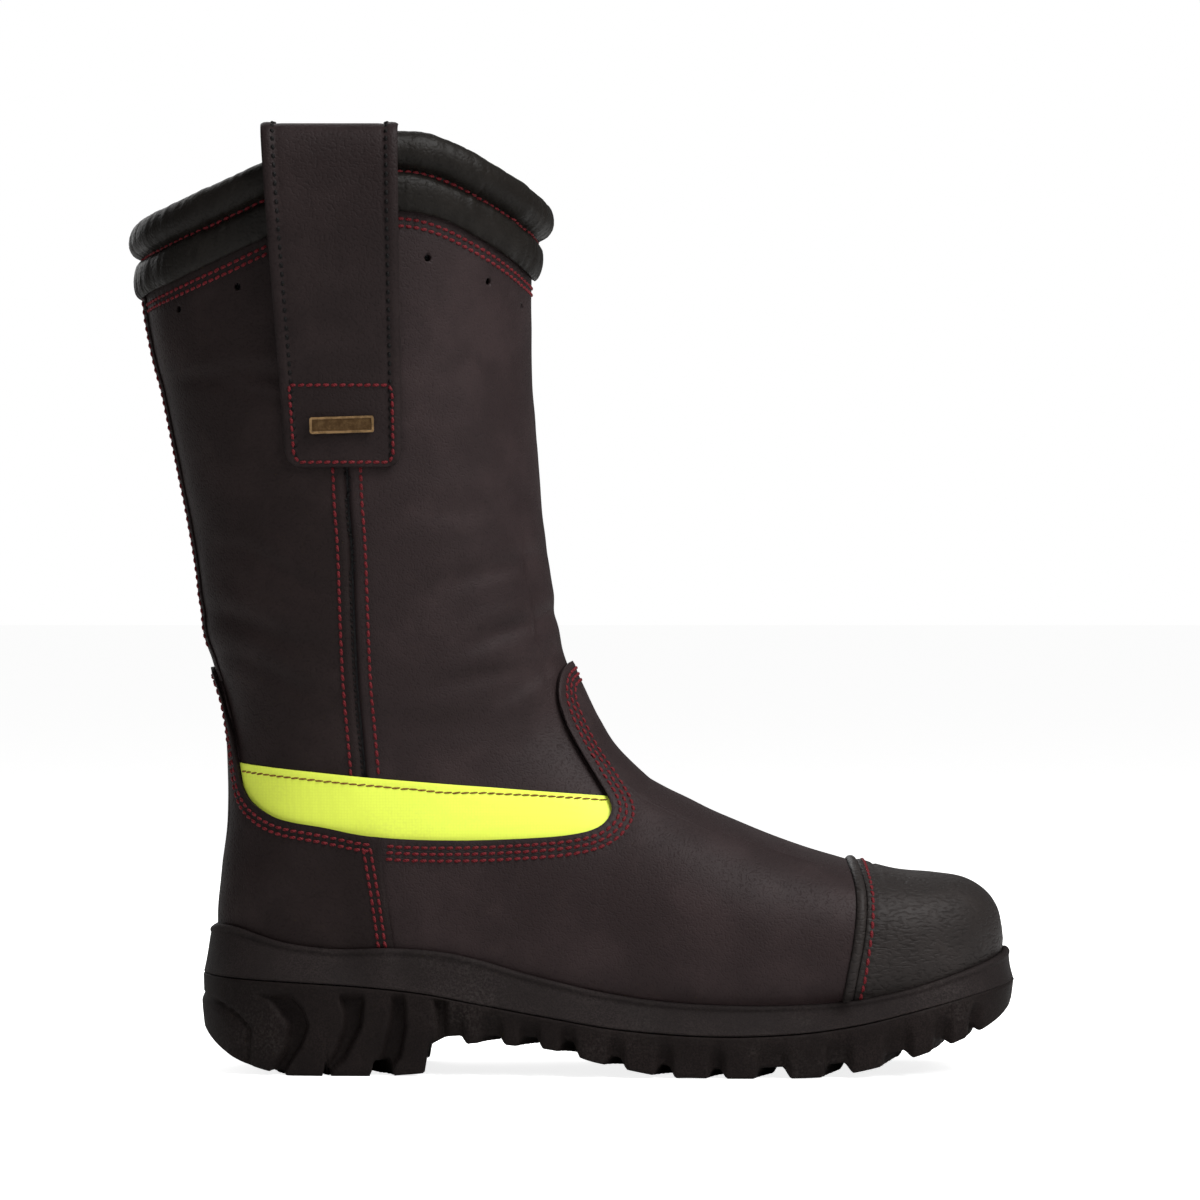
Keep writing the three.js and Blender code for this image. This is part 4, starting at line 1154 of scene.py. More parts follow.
def makeStrap(side):
    total = strapRun[-1]

    def place(u, v):
        run = v * total
        across = u - 0.5
        # the foot's corners are rounded
        toSide = (0.5 - np.abs(across)) * strap["footWidth"]
        corner = strap["corner"]
        bite = corner - np.sqrt(np.maximum(corner**2 - (corner - toSide) ** 2, 0))
        cut = np.where(toSide < corner, bite, 0)
        run = run + cut * (1 - softStep(run, 0, 12))
        fold = strap["fold"] * (1 - softStep(toSide, strap["edge"] - 0.5, strap["edge"] + 0.5))
        groove = 0.5 * bell(toSide - strap["edge"], 0.8)
        rollOff = 0.7 * bell(toSide, 0.8)
        inPatch = softStep(run, 0, 2) * (1 - softStep(run, 30, 33))
        lift = strap["thickness"] / 2 + fold - groove - rollOff - 0.25 * inPatch * (toSide > 5)
        return strapPoint(side, across, run, lift)

    bm = gridMesh(40, 170, place)
    away = lambda spot: Vector((0, side if abs(spot.y) > 0.05 else -side, 0))
    thicken(bm, strap["thickness"], rim=0.5, outward=away)
    return toObject(bm, named("pullStrap", side), finishes["strapLeather"])


badge = {
    "length": 24, "height": 6.2, "thickness": 1.2, "x": -86.3, "z": 244.1, "frame": 0.85, "depth": 0.5,
    "tilt": -0.03,
}


def makeBadge():
    bm = bmesh.new()
    bmesh.ops.create_cube(bm, size=1.0)
    size = Vector((badge["length"], badge["thickness"], badge["height"]))
    bmesh.ops.scale(bm, vec=size * mm, verts=bm.verts)
    upright = [e for e in bm.edges if abs((e.verts[0].co - e.verts[1].co).y) > 0.5 * badge["thickness"] * mm]
    bmesh.ops.bevel(bm, geom=upright, offset=0.9 * mm, segments=4, profile=0.5, affect="EDGES", material=-1)
    face = min(bm.faces, key=lambda f: f.calc_center_median().y)
    for thickness, depth in ((badge["frame"], 0), (0.15, -badge["depth"])):
        bmesh.ops.inset_region(bm, faces=[face], thickness=thickness * mm, depth=depth * mm)
    sunk = bm.verts.layers.float.new("sunk")
    for vert in face.verts:
        vert[sunk] = 1.0
    bmesh.ops.rotate(bm, cent=(0, 0, 0), matrix=Matrix.Rotation(badge["tilt"], 3, "Y"), verts=bm.verts)
    seat = strapPoint(-1, np.array([0.0]), np.array([badge["z"] - strap["footZ"]]), strap["thickness"] / 2)[0]
    place = Vector((badge["x"], seat[1] - badge["thickness"] / 2 - 0.25, badge["z"]))
    bmesh.ops.translate(bm, vec=place * mm, verts=bm.verts)
    faceOut(bm)
    piece = toObject(bm, "badgePlate", finishes["brass"])
    for polygon in piece.data.polygons:
        polygon.use_smooth = False
    bevel = piece.modifiers.new("edges", "BEVEL")
    bevel.width, bevel.segments, bevel.limit_method = 0.12 * mm, 2, "ANGLE"
    return piece


straps = {-1: makeStrap(-1), 1: makeStrap(1)}
badgePiece = makeBadge()
print("straps and badge made")


inside = {"legOut": -3.5, "footOut": -2.7, "cloth": 0.9, "backing": 9.0, "bedFit": 5.3, "bedTop": 9.6}
footRoom = smooth([
    [34, 150], [30, 126], [34, 108], [36, 94], [34, 80], [22, 70], [-4, 67], [-28, 66], [-51, 67], [-73, 72],
    [-93, 80], [-110, 86], [-120, 93], [-128, 104], [-132, 122], [-146, 128],
], 120)
roomArea = np.vstack([footRoom, [[-400, footRoom[-1, 1]], [-400, 500], [400, 500], [400, footRoom[0, 1]]]])
roomAlong = crossing(lambda x, z: insideOutline(roomArea, x, z))


def unwrap(obj, across, along):
    # lays the piece's UV map along its own threads, in shares of its girth and its length
    layer = obj.data.uv_layers.new(name="threads")
    points = meshPoints(obj)
    loops = np.zeros(len(obj.data.loops), np.int64)
    obj.data.loops.foreach_get("vertex_index", loops)
    spin = np.arctan2(points[:, 1], points[:, 0] + across) / fullTurn + 0.5
    uv = np.stack([spin[loops], points[loops, 2] / along], 1)
    layer.data.foreach_set("uv", uv.astype(np.float32).ravel())


def makeLegLining():
    def place(turn, v):
        start = openAlong(turn)
        start = moved(start, turn, -5)
        end = collarAlong(turn)
        end = moved(end, turn, -8)
        return offSkin(start + (end - start) * v, turn, inside["legOut"])

    bm = tube(place, 120, 90)
    thicken(bm, inside["cloth"], rim=0)
    piece = toObject(bm, "legLiningCloth", finishes["liningCloth"])
    unwrap(piece, 80, 400)
    return piece


def makeFootLining():
    def place(turn, v):
        end = roomAlong(turn)
        return nosed(turn, -0.03 + (end + 0.03) * v, inside["footOut"], 0)

    bm = tube(place, 110, 80)
    thicken(bm, inside["cloth"], rim=0)
    piece = toObject(bm, "footLiningCloth", finishes["liningCloth"])
    unwrap(piece, 40, 400)
    return piece


def makeBacking(side):
    def place(u, v):
        turn = np.full(len(u), 1.6)
        for _ in range(3):
            start = openAlong(turn)
            start = moved(start, turn, 1)
            end = collarAlong(turn)
            end = moved(end, turn, -8)
            along = start + (end - start) * v
            reach = girthAt(along, turn)
            turn = seamTurn(along) + (u * 2 - 1) * inside["backing"] / reach
        return offSkin(along, facing(turn, side), -2.5)

    bm = gridMesh(8, 90, place)
    thicken(bm, 0.7, rim=0, outward=lambda c: Vector((0, side, 0)))
    piece = toObject(bm, named("seamBacking", side), finishes["backingTape"])
    unwrap(piece, 80, 400)
    return piece


# the outline under the foot, from the toe round the inner side, the heel and the outer side
outlineRows = [(s[0] + 0.2 * (s[2] - s[0]), s[4], s[5]) for s in sections[:15]]
_, outer, inner = outlineRows[14]
outlineRows += [(x, outer * k, inner * k) for x, k in ((-118, 0.84), (-128.5, 0.53))]
outlinePoints = np.array(
    [(160.4, (outlineRows[0][2] - outlineRows[0][1]) / 2)]
    + [(r[0], r[2]) for r in outlineRows]
    + [(-133.4, 0)]
    + [(r[0], -r[1]) for r in outlineRows[::-1]]
)


def closedLine(points, count):
    ring = np.vstack([points, points, points])
    places = np.linspace(1 / 3, 2 / 3, 3000, endpoint=False)
    fine = through(ring, places * 3 * len(points) / (3 * len(points) - 1))
    run = lengthAlong(np.vstack([fine, fine[:1]]))
    at = np.linspace(0, run[-1], count, endpoint=False)
    closed = np.vstack([fine, fine[:1]])
    line = np.stack([np.interp(at, run, closed[:, k]) for k in (0, 1)], 1)
    for _ in range(6):
        line = (np.roll(line, 1, 0) + 2 * line + np.roll(line, -1, 0)) / 4
    return line


footRing = closedLine(outlinePoints, 720)
ringAhead = unit(np.roll(footRing, -1, 0) - np.roll(footRing, 1, 0))
ringOut = np.stack([ringAhead[:, 1], -ringAhead[:, 0]], 1)
if (ringOut * (footRing - footRing.mean(0))).sum() < 0:
    ringOut = -ringOut
for _ in range(30):
    ringOut = (np.roll(ringOut, 1, 0) + ringOut + np.roll(ringOut, -1, 0)) / 3
ringOut = unit(ringOut)


def ringAt(u, margin):
    # a place on the outline, moved outwards
    at = (np.asarray(u, float) % 1) * 720
    i = at.astype(int) % 720
    w = (at - np.floor(at))[:, None]
    spot = footRing[i] * (1 - w) + footRing[(i + 1) % 720] * w
    out = ringOut[i] * (1 - w) + ringOut[(i + 1) % 720] * w
    return spot + out * np.asarray(margin)[..., None], out


def sideRun(side):
    # x along one side of the outline at the wall, from the heel's back to the toe, and its place in the ring
    heel = int(footRing[:, 0].argmin())
    order = (heel + np.arange(361) * (1 if footRing[(heel + 90) % 720, 1] * side > 0 else -1)) % 720
    spots, _ = ringAt(order / 720, np.full(361, 7.6))
    far = int(spots[:, 0].argmax())
    order, spots = order[: far + 1], spots[: far + 1]
    xs = np.maximum.accumulate(spots[:, 0]) + np.arange(far + 1) * 1e-6
    return xs, np.unwrap(order / 720 * fullTurn) / fullTurn


runs = {-1: sideRun(-1), 1: sideRun(1)}


def around(half):
    # places round the outline whose x is shared by both sides, so that a sheet closes along the sole's middle
    x0 = max(runs[-1][0][0], runs[1][0][0])
    x1 = min(runs[-1][0][-1], runs[1][0][-1])
    xs = x0 + (x1 - x0) * (1 - np.cos(np.pi * np.arange(half + 1) / half)) / 2
    outer, inner = np.interp(xs, *runs[-1]), np.interp(xs, *runs[1])
    return np.concatenate([outer, inner[-2:0:-1]]), np.concatenate([xs, xs[-2:0:-1]])


def middleAt(x):
    # the middle line of the sole
    x = np.clip(x, -100, 118)
    return np.stack([x, np.interp(x, [-100, -40, 40, 80, 118], [0, -3, -3, -1, 1])], 1)


def sheetOf(rows, us):
    # a closed sheet round the outline: each row is points [x, y, z] for every place in us
    table = np.array(rows)
    count = len(us)

    def place(u, v):
        row = np.clip(np.round(v * (len(rows) - 1)).astype(int), 0, len(rows) - 1)
        return table[row, np.round(u * count).astype(int) % count]

    bm = gridMesh(count, len(rows) - 1, place)
    faceOut(bm)
    return bm


bottomLine = smooth([
    [175, 44], [160, 38.6], [147, 34.8], [137, 32], [122, 28.6], [102, 25], [79, 22], [54, 20.5], [20, 21],
    [-10, 23], [-40, 26], [-75, 28], [-104, 29], [-150, 29.5],
], 80)


def makeFootbed():
    us, xs = around(110)
    edge, _ = ringAt(us, np.full(len(us), -inside["bedFit"]))
    middle = middleAt(xs)
    rows = []
    # share of the way from the middle to the edge, and height over the bed's top
    for share, rise in (
        (0, 0), (0.45, 0), (0.75, 0), (0.9, 0.3), (0.985, 1.3), (1.0, 0.5), (0.985, -1.6),
        (0.965, -5.0), (0.9, -5.4), (0.45, -5.4), (0, -5.4),
    ):
        flat = middle + (edge - middle) * share
        rows.append(np.column_stack([flat, lineHeight(bottomLine, flat[:, 0]) + inside["bedTop"] + rise]))
    return toObject(sheetOf(rows, us), "footbedFeltPad", finishes["footbedFelt"], levels=1)


liningPiece = makeLegLining()
footLiningPiece = makeFootLining()
backings = {-1: makeBacking(-1), 1: makeBacking(1)}
footbedPiece = makeFootbed()
print("linings made")


sole = {"wall": 7.6, "lip": 1.5, "lipOut": 3.0}
foxingTop = smooth([
    [-146, 51], [-139.6, 53], [-134.2, 55.8], [-123.5, 52.6], [-108, 49.2], [-89, 47.4], [-70, 48],
    [-51, 46.8],
    [-35.7, 43.8], [-20.4, 39.3], [-5, 35.4], [10, 32], [29, 29], [48.3, 27.5], [71.2, 27], [90.3, 27.5],
    [105.6, 28.8], [124.6, 32.4], [140, 36.8], [155, 42.2], [164, 46.4], [172, 49],
], 200)
partingLine = smooth([
    [-146, 37.2], [-118, 35.6], [-86, 33.8], [-59, 31.2], [-37.6, 27.4], [-10.9, 22.6], [17, 18],
    [49.6, 15.6],
    [80, 16.2], [104.4, 19.2], [128.8, 24.8], [153.2, 31.2], [172, 36.4],
], 160)
# the bottom of the sole between its lugs, and the ground side of the lugs
floorLine = smooth([
    [-150, 27], [-143, 21], [-134, 14], [-124, 9], [-110, 6.6], [-90, 6], [-70, 6.2], [-60, 7.6],
    [-51, 13.4], [-44, 15.2], [-20, 15.2], [-2, 13.8],
    [8, 10.4], [16, 7.8], [33, 5], [53, 3.6], [76, 4.2], [101, 5.6], [122, 9.6], [138, 13.8],
    [149, 18.5], [157, 23.5], [166, 31], [172, 35],
], 240)
treadLine = smooth([
    [-146, 27], [-142, 19.5], [-135.5, 11.4], [-125, 4.6], [-112, 0.9], [-104, 0], [-80, 0], [-66, 0.4],
    [-52, 2.4], [-46, 9], [-38, 12.6],
    [-22, 11.8], [-8, 10.3], [1, 8], [7, 6.1], [14, 4.6], [25, 2.2], [36, 0.4], [44, 0.3], [62, 0.05],
    [86, 0.2], [98, 1.0], [110, 3], [122, 6],
    [131, 8.4], [145, 13.2], [157, 18.6], [164, 24], [172, 34],
], 260)
upperSurface = surfaceOf(vampPiece, counterPiece, guardPiece, guardStrip)


def upperContact(u, height):
    # where the upper stands at that height, straight in from the sole's outline
    spots, out = ringAt(u, np.full(len(u), 12.0))
    found = []
    for spot, way, z in zip(spots, out, height):
        start = Vector((spot[0], spot[1], z)) * mm
        hit = upperSurface.ray_cast(start, Vector((-way[0], -way[1], 0)), 0.04)[0]
        found.append(-(np.hypot(hit.x / mm - spot[0], hit.y / mm - spot[1]) - 12.0) if hit else 0.0)
    found = np.array(found)
    for _ in range(4):
        found = (np.roll(found, 1) + found + np.roll(found, -1)) / 3
    return found


def makeFoxing():
    us, xs = around(330)
    count = len(us)
    edge, _ = ringAt(us, np.full(count, 4.0))
    top = lineHeight(foxingTop, edge[:, 0])
    low = lineHeight(partingLine, edge[:, 0]) + 0.35
    bottom = lineHeight(bottomLine, edge[:, 0])
    heights = (bottom + 1.5, bottom + (top - bottom) * 0.55, top - 1.8)
    touch = [upperContact(us, h) + 0.1 for h in heights]
    touch[2] = np.maximum(touch[2], touch[2].min())
    wall = np.full(count, sole["wall"])
    out = sole["lipOut"]
    places = [(touch[0] - 6, bottom - 3.2)] + list(zip(touch, heights))
    for angle in (165, 135, 105, 75, 45, 15, -15, -40):
        a = math.radians(angle)
        margin = touch[2] + out / 2 + (out / 2) * math.cos(a)
        places.append((margin, top - sole["lip"] + sole["lip"] * math.sin(a)))
    for share in (0.08, 0.2, 0.34, 0.5, 0.66, 0.8, 0.9, 0.96):
        bow = 0.35 * math.sin(math.pi * share)
        margin = touch[2] + out - 0.35 + (wall - touch[2] - out + 0.3) * share**0.75 - bow
        places.append((margin, top - 2.9 - (top - 2.9 - low - 0.6) * share))
    places += [(wall, low + 0.5), (wall - 0.15, low + 0.18), (wall - 0.6, low), (wall - 4, low)]
    rows = [np.column_stack([middleAt(xs), bottom - 3.6])]
    rows += [np.column_stack([ringAt(us, margin)[0], z]) for margin, z in places]
    rows += [np.column_stack([middleAt(xs), low])]
    return toObject(sheetOf(rows, us), "foxingBand", finishes["soleFoam"])


tread = {
    # lugs and arch ribs: rear x and front x at the edge of the sole
    "lugs": [
        (-41, -34.2), (-26.8, -19.6), (-12.8, -4.4), (1.0, 13.2), (18.6, 31.4), (36.8, 51.4), (56.0, 69.0),
        (80.0, 94.4), (103.4, 116.6), (126.2, 135.4), (141.0, 148.8), (152.0, 175.0),
    ],
    "slant": 0.3, "soft": 1.7, "channel": 4.6, "flare": 1.5, "scoop": 2.1,
    # crescents of the heel's wall: rear edge and front edge as [height, x]
    "crescents": [
        (
            [(0, -200), (34, -200)],
            [(0, -113.6), (3, -112.8), (9.5, -108.2), (19, -106.7), (28.3, -113.5), (34, -127)],
        ),
        (
            [(0, -109.5), (4.6, -107), (12, -102), (19, -99.4), (25, -101.5), (31, -107)],
            [(0, -93.4), (2.7, -92.6), (9.5, -89.1), (18, -85.7), (23.3, -85.4), (31, -88)],
        ),
        (
            [(0, -92), (1.9, -91), (6.9, -85.7), (19, -79.6), (31, -78.4)],
            [(0, -75.4), (8, -71.6), (18, -68.9), (31, -67.4)],
        ),
        (
            [(0, -68.4), (4.6, -67.4), (8, -64.7), (19, -62.8), (31, -63.4)],
            [(0, -55), (6.1, -52.9), (14.5, -50.2), (23.3, -51.2), (31, -52)],
        ),
    ],
    "rim": [
        (0, -122.6), (7.3, -122.4), (17.9, -121.6), (23.5, -127), (27.6, -134), (29.8, -140.3), (31, -146),
    ],
    "gapDepth": 4.2,
}


def crescentMask(x, z):
    # 1 on the heel's crescents, 0 in the gaps between them
    mask = np.zeros(len(x))
    for rear, front in tread["crescents"]:
        rear, front = np.array(rear, float), np.array(front, float)
        x0, x1 = np.interp(z, rear[:, 0], rear[:, 1]), np.interp(z, front[:, 0], front[:, 1])
        mask = np.maximum(mask, softStep(x, x0 - 1.0, x0 + 1.0) * (1 - softStep(x, x1 - 1.0, x1 + 1.0)))
    return mask


def lugMask(x):
    soft = tread["soft"]
    lugs = ((softStep(x, a - soft, a + soft), softStep(x, b - soft, b + soft)) for a, b in tread["lugs"])
    return sum(rise * (1 - fall) for rise, fall in lugs)


def groundAt(x, y, rim):
    # the height of the tread: rim is how far the place is from the edge of the sole
    floor, low = lineHeight(floorLine, x), lineHeight(treadLine, x)
    front = softStep(x, -49, -46)
    middle = middleAt(x)[:, 1]
    bank = tread["channel"] / 2
    lugs = lugMask(x - tread["slant"] * np.minimum(rim, 26)) * softStep(np.abs(y - middle), bank, bank + 2.2)
    curved = x + 0.3 * np.minimum(rim, 30)
    heel = crescentMask(curved, np.zeros(len(x)))
    heel = np.maximum(heel, 0.82 * softStep(-x, 98, 106))
    mask = lugs * front + heel * (1 - front)
    texture = 0.25 * mask * np.cos(np.clip(rim, 0, 60) * 1.1) * (rim > 4)
    return np.maximum(floor + (np.minimum(low, floor) - floor) * mask, 0.05) + np.maximum(texture, 0) * 0.8


def makeOutsole():
    us, xs = around(520)
    count = len(us)
    edge, _ = ringAt(us, np.full(count, 6.5))
    x, y = edge[:, 0], edge[:, 1]
    top = lineHeight(partingLine, x)
    foot = np.minimum(groundAt(x, y, np.zeros(count)), top - 4)
    middle = middleAt(xs)
    rows = [np.column_stack([middle, top - 1.2])]
    for margin, drop in ((2.0, 1.2), (4.8, 0.1), (7.1, 0.0), (7.6, 0.12), (7.8, 0.5)):
        rows.append(np.column_stack([ringAt(us, np.full(count, margin))[0], top - drop]))
    shares = np.linspace(0, 1, 26)[1:]
    for share in shares:
        z = top - 0.6 - (top - 0.6 - foot - 1.0) * share
        front = softStep(x, -49, -46)
        heel = crescentMask(x, z)
        fade = softStep(z, 31.5, 28.0)
        gap = tread["gapDepth"] * (1 - heel) * fade
        rimLine = np.array(tread["rim"], float)
        toRim = x - np.interp(z, rimLine[:, 0], rimLine[:, 1])
        groove = 1.5 * bell(toRim, 0.9) * (x < -116) * softStep(z, 30.5, 28.5)
        dome = 0.9 * softStep(-toRim, 0.5, 7) * (x < -116) * softStep(z, 30, 26)
        heelWall = -gap - groove + dome - 1.2 * share**2
        lugs = lugMask(x)
        flare = tread["flare"] * share**1.5 * (1 - 0.5 * lugs)
        scoop = tread["scoop"] * (1 - lugs) * softStep(np.full(count, share), 0.15, 0.8)
        frontWall = -flare - scoop + 0.25 * lugs
        margin = 7.75 + heelWall * (1 - front) + frontWall * front
        rows.append(np.column_stack([ringAt(us, margin)[0], z]))
    last = rows[-1][:, :2]
    outward = (ringAt(us, np.full(count, 7.0))[0] - ringAt(us, np.full(count, 6.0))[0])
    for inset, lift in ((0.35, 0.6), (0.9, 0.2), (1.7, 0.0)):
        rows.append(np.column_stack([last - outward * inset, foot + lift]))
    start = last - outward * 1.7
    for share in np.linspace(0, 1, 44)[1:] ** 0.9:
        flat = start + (middle - start) * share
        rim = np.linalg.norm(flat - start, axis=1)
        z = groundAt(flat[:, 0], flat[:, 1], rim)
        z = foot + (z - foot) * softStep(rim, 0, 3.5)
        rows.append(np.column_stack([flat, z]))
    return toObject(sheetOf(rows, us), "treadUnit", finishes["soleRubber"])


foxingPiece = makeFoxing()
outsolePiece = makeOutsole()
print("sole made")


sewing = {
    "vampRows": (3.0, 5.4, 7.9), "counterRows": (3.2, 5.6), "frontRows": (3.0, 5.6), "sideRows": 5.2,
    "tapeInset": 3.0, "stripRow": 8.0, "guardRow": 6.3, "topRows": (1.6, 4.4),
}
rowsBy = {}
seamsBy = {seam: [] for seam in ("vamp", "counter", "leg", "tape", "strip", "guard", "collar", "strap")}


def sew(name, line, ups, surface, inset=0.0, **kinds):
    # one row of stitches, laid on a surface beside a line
    path = beside(line, ups, inset) if inset else line
    path = evenly(path, 1.5)
    near = sampled(ups, np.linspace(0, 1, len(ups)), np.linspace(0, 1, len(path))).T
    spots, normals = laid(path, surface, near)
    row = bmesh.new()
    stitchRow(row, spots, normals, **kinds)
    mesh = bpy.data.meshes.new("row")
    row.to_mesh(mesh)
    row.free()
    bm = rowsBy.setdefault(name, bmesh.new())
    bm.from_mesh(mesh)
    bpy.data.meshes.remove(mesh)
    return spots


def sewSkin(seam, name, along, turn, surface, inset=0.0, **kinds):
    seamsBy[seam].append(sew(name, skin(along, turn), skinNormal(along, turn), surface, inset, **kinds))


def sewStrap(name, side, across, run, surface, **kinds):
    ups = unit(strapPoint(side, across, run, 3.0) - strapPoint(side, across, run, 1.0))
    seamsBy["strap"].append(sew(name, strapPoint(side, across, run, 2.0), ups, surface, **kinds))


footSurface = surfaceOf(vampPiece)
counterSurface = surfaceOf(counterPiece)
legSurface = surfaceOf(frontPiece, rearOuter, rearInner)
tapeSurface = surfaceOf(tapes[-1], tapes[1])
stripSurface = surfaceOf(backStrip)
guardSurface = surfaceOf(guardPiece)
collarSurface = surfaceOf(collarPiece)

turns = np.linspace(-cornerTurn, cornerTurn, 400)[4:-4]
for inset in sewing["vampRows"]:
    sewSkin("vamp", "redFoot", openAlong(turns), turns, footSurface, inset)

turns = np.linspace(cornerTurn, fullTurn - cornerTurn, 300)[4:-4]
for inset in sewing["counterRows"]:
    sewSkin("counter", "redFoot", openAlong(turns), turns, counterSurface, inset)

for side in (-1, 1):
    z = np.linspace(86, 36, 90)
    for inset in sewing["frontRows"]:
        along, turn = onSkin(np.stack([lineReach(counterSeam, z) - inset, z], 1), side)
        sewSkin("counter", "redFoot", along, turn, counterSurface)

    z = np.linspace(112.5, 229, 120)
    along, turn = onSkin(np.stack([lineReach(sideSeam, z), z], 1), side)
    for way in (-1, 1):
        sewSkin("leg", "redLeg", along, turn, legSurface, way * sewing["sideRows"])
    sewSkin("leg", "blackLeg", along, turn, legSurface, pitch=2.2, thickness=0.55, gap=0.4)

    turns = np.linspace(tapeEnds[0] + 0.02, tapeEnds[1] - 0.02, 160)
    turned = facing(turns, side)
    high = tapeAlong(turned)
    row = moved(high, turned, -sewing["tapeInset"])
    keep = row > openAlong(turned)
    sewSkin("tape", "brownLeg", row[keep], turned[keep], tapeSurface, pitch=3.2, gap=-0.7, thickness=0.4)

    along = np.linspace(0.722, 0.955, 160)
    sewSkin("strip", "redLeg", along, rearTurn(along, np.full(160, side * sewing["stripRow"])), stripSurface)

    turned = facing(np.linspace(0.02, 2.35, 120), side)
    aside = -side * sewing["guardRow"]
    sewSkin("guard", "redFoot", guardAlong(turned), turned, guardSurface, aside, pitch=3.4)

turns = np.linspace(0, fullTurn, 420)
below = collarAlong(turns)
for inset in sewing["topRows"]:
    sewSkin("leg", "redLeg", moved(below, turns, -inset), turns, legSurface, pitch=3.0)
pinch = collarPoint(turns, np.full(420, 1.6), np.full(420, 15.9))
ways = skinNormal(below, turns)
ways[:, 2] = 0
seamsBy["collar"].append(sew("redLeg", pinch, unit(ways), collarSurface, pitch=3.2))

for side in (-1, 1):
    surface = surfaceOf(straps[side])
    for edge in (-1, 1):
        run = np.linspace(3, strapRun[-1] - 3, 200)
        width = strapWidth(strapClimb(np.interp(run, strapRun, strapPath[:, 1])))
        across = edge * (0.5 - strap["edge"] / width)
        sewStrap("blackLeg", side, across, run, surface, pitch=3.4, gap=0.9, thickness=0.74)
    # the box sewn at the strap's foot
    for corner in (
        [(-0.38, 1.8), (0.38, 1.8)], [(0.38, 1.8), (0.42, 4), (0.42, 28.6), (0.39, 30.6)],
        [(0.39, 30.6), (-0.42, 30.6)], [(-0.42, 30.6), (-0.42, 4), (-0.38, 1.8)],
    ):
        t = np.linspace(0, len(corner) - 1, 60)
        across, run = (np.interp(t, np.arange(len(corner)), values) for values in zip(*corner))
        sewStrap("redLeg", side, across, run, surface, pitch=2.9)

threads = {}
for name, color in (("redFoot", "red"), ("redLeg", "red"), ("blackLeg", "black"), ("brownLeg", "brown")):
    faceOut(rowsBy[name])
    threads[name] = toObject(rowsBy[name], name + "Stitches", finishes[color + "Thread"])

for names, pieces in (
    (["vamp", "guard"], [vampPiece]), (["counter"], [counterPiece]), (["leg"], [frontPiece]),
    (["leg", "strip"], [rearOuter, rearInner]), (["tape"], tapes.values()), (["strip"], [backStrip]),
    (["guard"], [guardPiece]), ([], [guardStrip]), (["collar"], [collarPiece]), (["strap"], straps.values()),
):
    for piece in pieces:
        markSeams(piece, [seam for name in names for seam in seamsBy[name]])
print("sewing made:", {name: len(obj.data.vertices) for name, obj in threads.items()})


# body None: the piece is attached to no body and keeps its place
for piece, slot, body, nodes in (
    (vampPiece, "boot_leather", None, ["vamp"]),
    (counterPiece, "boot_leather", None, ["counter_cover"]),
    (guardPiece, "guard_leather", "foot", ["toe_guard"]),
    (guardStrip, "guard_leather", "foot", ["toe_guard_edge"]),
    (frontPiece, "boot_leather", None, ["leg_front_panel"]),
    (rearOuter, "boot_leather", None, ["leg_rear_panel_outer"]),
    (rearInner, "boot_leather", None, ["leg_rear_panel_inner"]),
    (backStrip, "boot_leather", None, ["back_strip"]),
    (tapes[-1], "hi_vis", None, ["hi_vis_tape_outer"]),
    (tapes[1], "hi_vis", None, ["hi_vis_tape_inner"]),
    (collarPiece, "collar_leather", "leg", ["collar_cover"]),
    (foamUpper, "foam", "leg", ["collar_foam_upper"]),
    (foamLower, "foam", "leg", ["collar_foam_lower"]),
    (straps[-1], "boot_leather", "leg", ["pull_strap_outer"]),
    (straps[1], "boot_leather", "leg", ["pull_strap_inner"]),
    (badgePiece, "brass", "leg", ["badge_plate"]),
    (liningPiece, "lining_cloth", None, ["leg_lining"]),
    (footLiningPiece, "lining_cloth", "foot", ["foot_lining"]),
    (backings[-1], "lining_cloth", None, ["seam_backing_outer"]),
    (backings[1], "lining_cloth", None, ["seam_backing_inner"]),
    (footbedPiece, "footbed_felt", "footbed", ["footbed"]),
    (foxingPiece, "midsole_foam", "foot", ["midsole"]),
    (outsolePiece, "outsole_rubber", "foot", ["outsole"]),
    (threads["redFoot"], "boot_leather", None, []),
    (threads["redLeg"], "boot_leather", None, []),
    (threads["blackLeg"], "boot_leather", None, []),
    (threads["brownLeg"], "hi_vis", None, []),
):
    if body:
        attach(piece, body)
    else:
        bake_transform(piece)
    if nodes:
        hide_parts(*nodes)

for name, look in (("toe_cap", "springSteel"), ("puncture_plate", "springSteel"), ("shank", "springSteel"),
                   ("insole_board", "fibreBoard"), ("heel_stiffener", "fibreBoard")):
    slots = cadNodes[name].data.materials
    for i in range(len(slots)):
        slots[i] = finishes[look]
print("pieces on the frame")


studio = {"ambient": 0.15, "floor": 90.0, "width": 0.4581, "middle": (0.0101, 0.1787), "lens": 200}


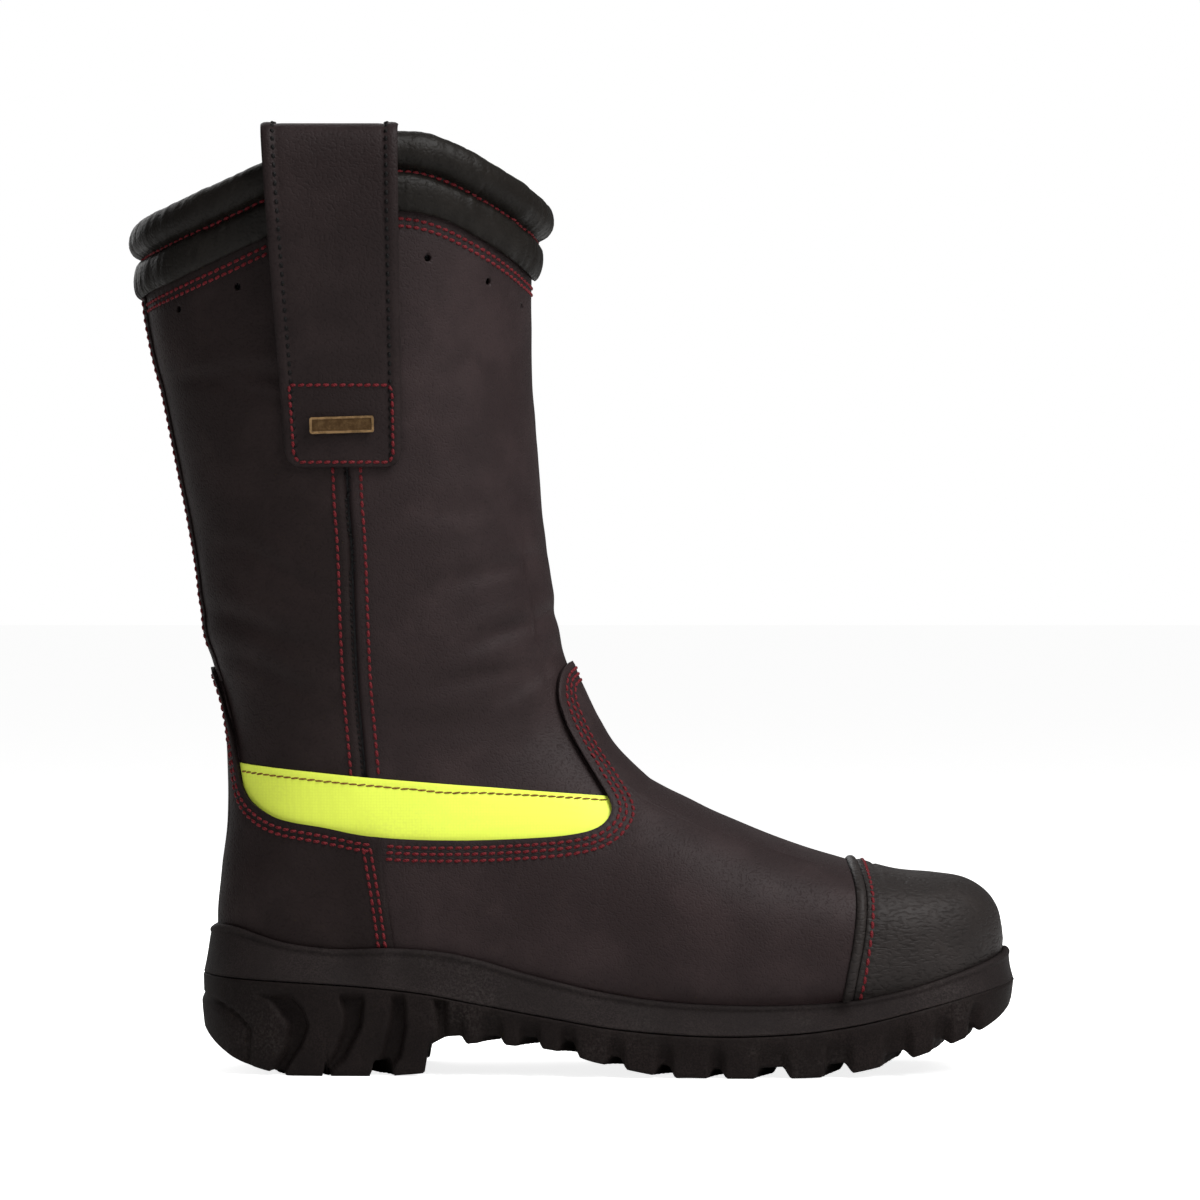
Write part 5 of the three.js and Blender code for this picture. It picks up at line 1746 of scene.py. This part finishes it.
def makeStudio():
    scene = bpy.context.scene
    bm = bmesh.new()
    bmesh.ops.create_grid(bm, x_segments=1, y_segments=1, size=studio["floor"] / 2)
    look = finish("paleFloor", (0.86, 0.86, 0.855), 0.6, 0.0, speckledLook(300, 0.01, 0.02))
    tree = look.node_tree
    shader = tree.nodes["Principled BSDF"]
    shader.inputs["Emission Color"].default_value = (1, 1, 1, 1)
    lift = times(tree, add(tree, "LightPath").outputs["Is Camera Ray"], 0.84)
    tree.links.new(lift, shader.inputs["Emission Strength"])
    # from below the floor is clear, so that the tread shows
    clear = add(tree, "MixShader", {0: add(tree, "NewGeometry").outputs["Backfacing"], 1: shader.outputs[0],
                                    2: add(tree, "BsdfTransparent").outputs[0]})
    tree.links.new(clear.outputs[0], tree.nodes["Material Output"].inputs["Surface"])
    ground = toObject(bm, "floor", look)

    world = bpy.data.worlds.new("studio")
    scene.world = world
    world.use_nodes = True
    tree = world.node_tree
    tree.nodes["Background"].inputs[1].default_value = studio["ambient"]
    tree.nodes["Background"].inputs[0].default_value = (1, 1, 1, 1)
    bright = add(tree, "Background", {"Color": (1, 1, 1, 1), "Strength": 1.0})
    straight = add(tree, "LightPath").outputs["Is Camera Ray"]
    seen = add(tree, "MixShader", {0: straight, 1: tree.nodes["Background"].outputs[0], 2: bright.outputs[0]})
    tree.links.new(seen.outputs[0], tree.nodes["World Output"].inputs[0])
    scene.view_settings.view_transform = "Standard"

    for name, place, size, power in (
        ("key", (1.2, -1.4, 1.5), 1.2, 33),
        ("fill", (-1.3, -1.4, 0.7), 1.4, 4),
        ("top", (0.65, -0.5, 1.45), 0.9, 26),
        ("back", (-0.6, 1.5, 0.9), 1.4, 12),
    ):
        light = bpy.data.lights.new(name, "AREA")
        light.size, light.energy = size, power
        holder = bpy.data.objects.new(name, light)
        holder.location = place
        holder.rotation_euler = (Vector((0, 0, 0.16)) - Vector(place)).to_track_quat("-Z", "Y").to_euler()
        scene.collection.objects.link(holder)

    camera = bpy.data.cameras.new("camera")
    camera.lens, camera.sensor_width = studio["lens"], 36
    far = studio["width"] / 2 / (18 / studio["lens"])
    holder = bpy.data.objects.new("camera", camera)
    holder.location = (studio["middle"][0], -far, studio["middle"][1])
    holder.rotation_euler = (math.pi / 2, 0, 0)
    camera.clip_end = 50
    scene.collection.objects.link(holder)
    scene.camera = holder


makeStudio()
print("studio ready")
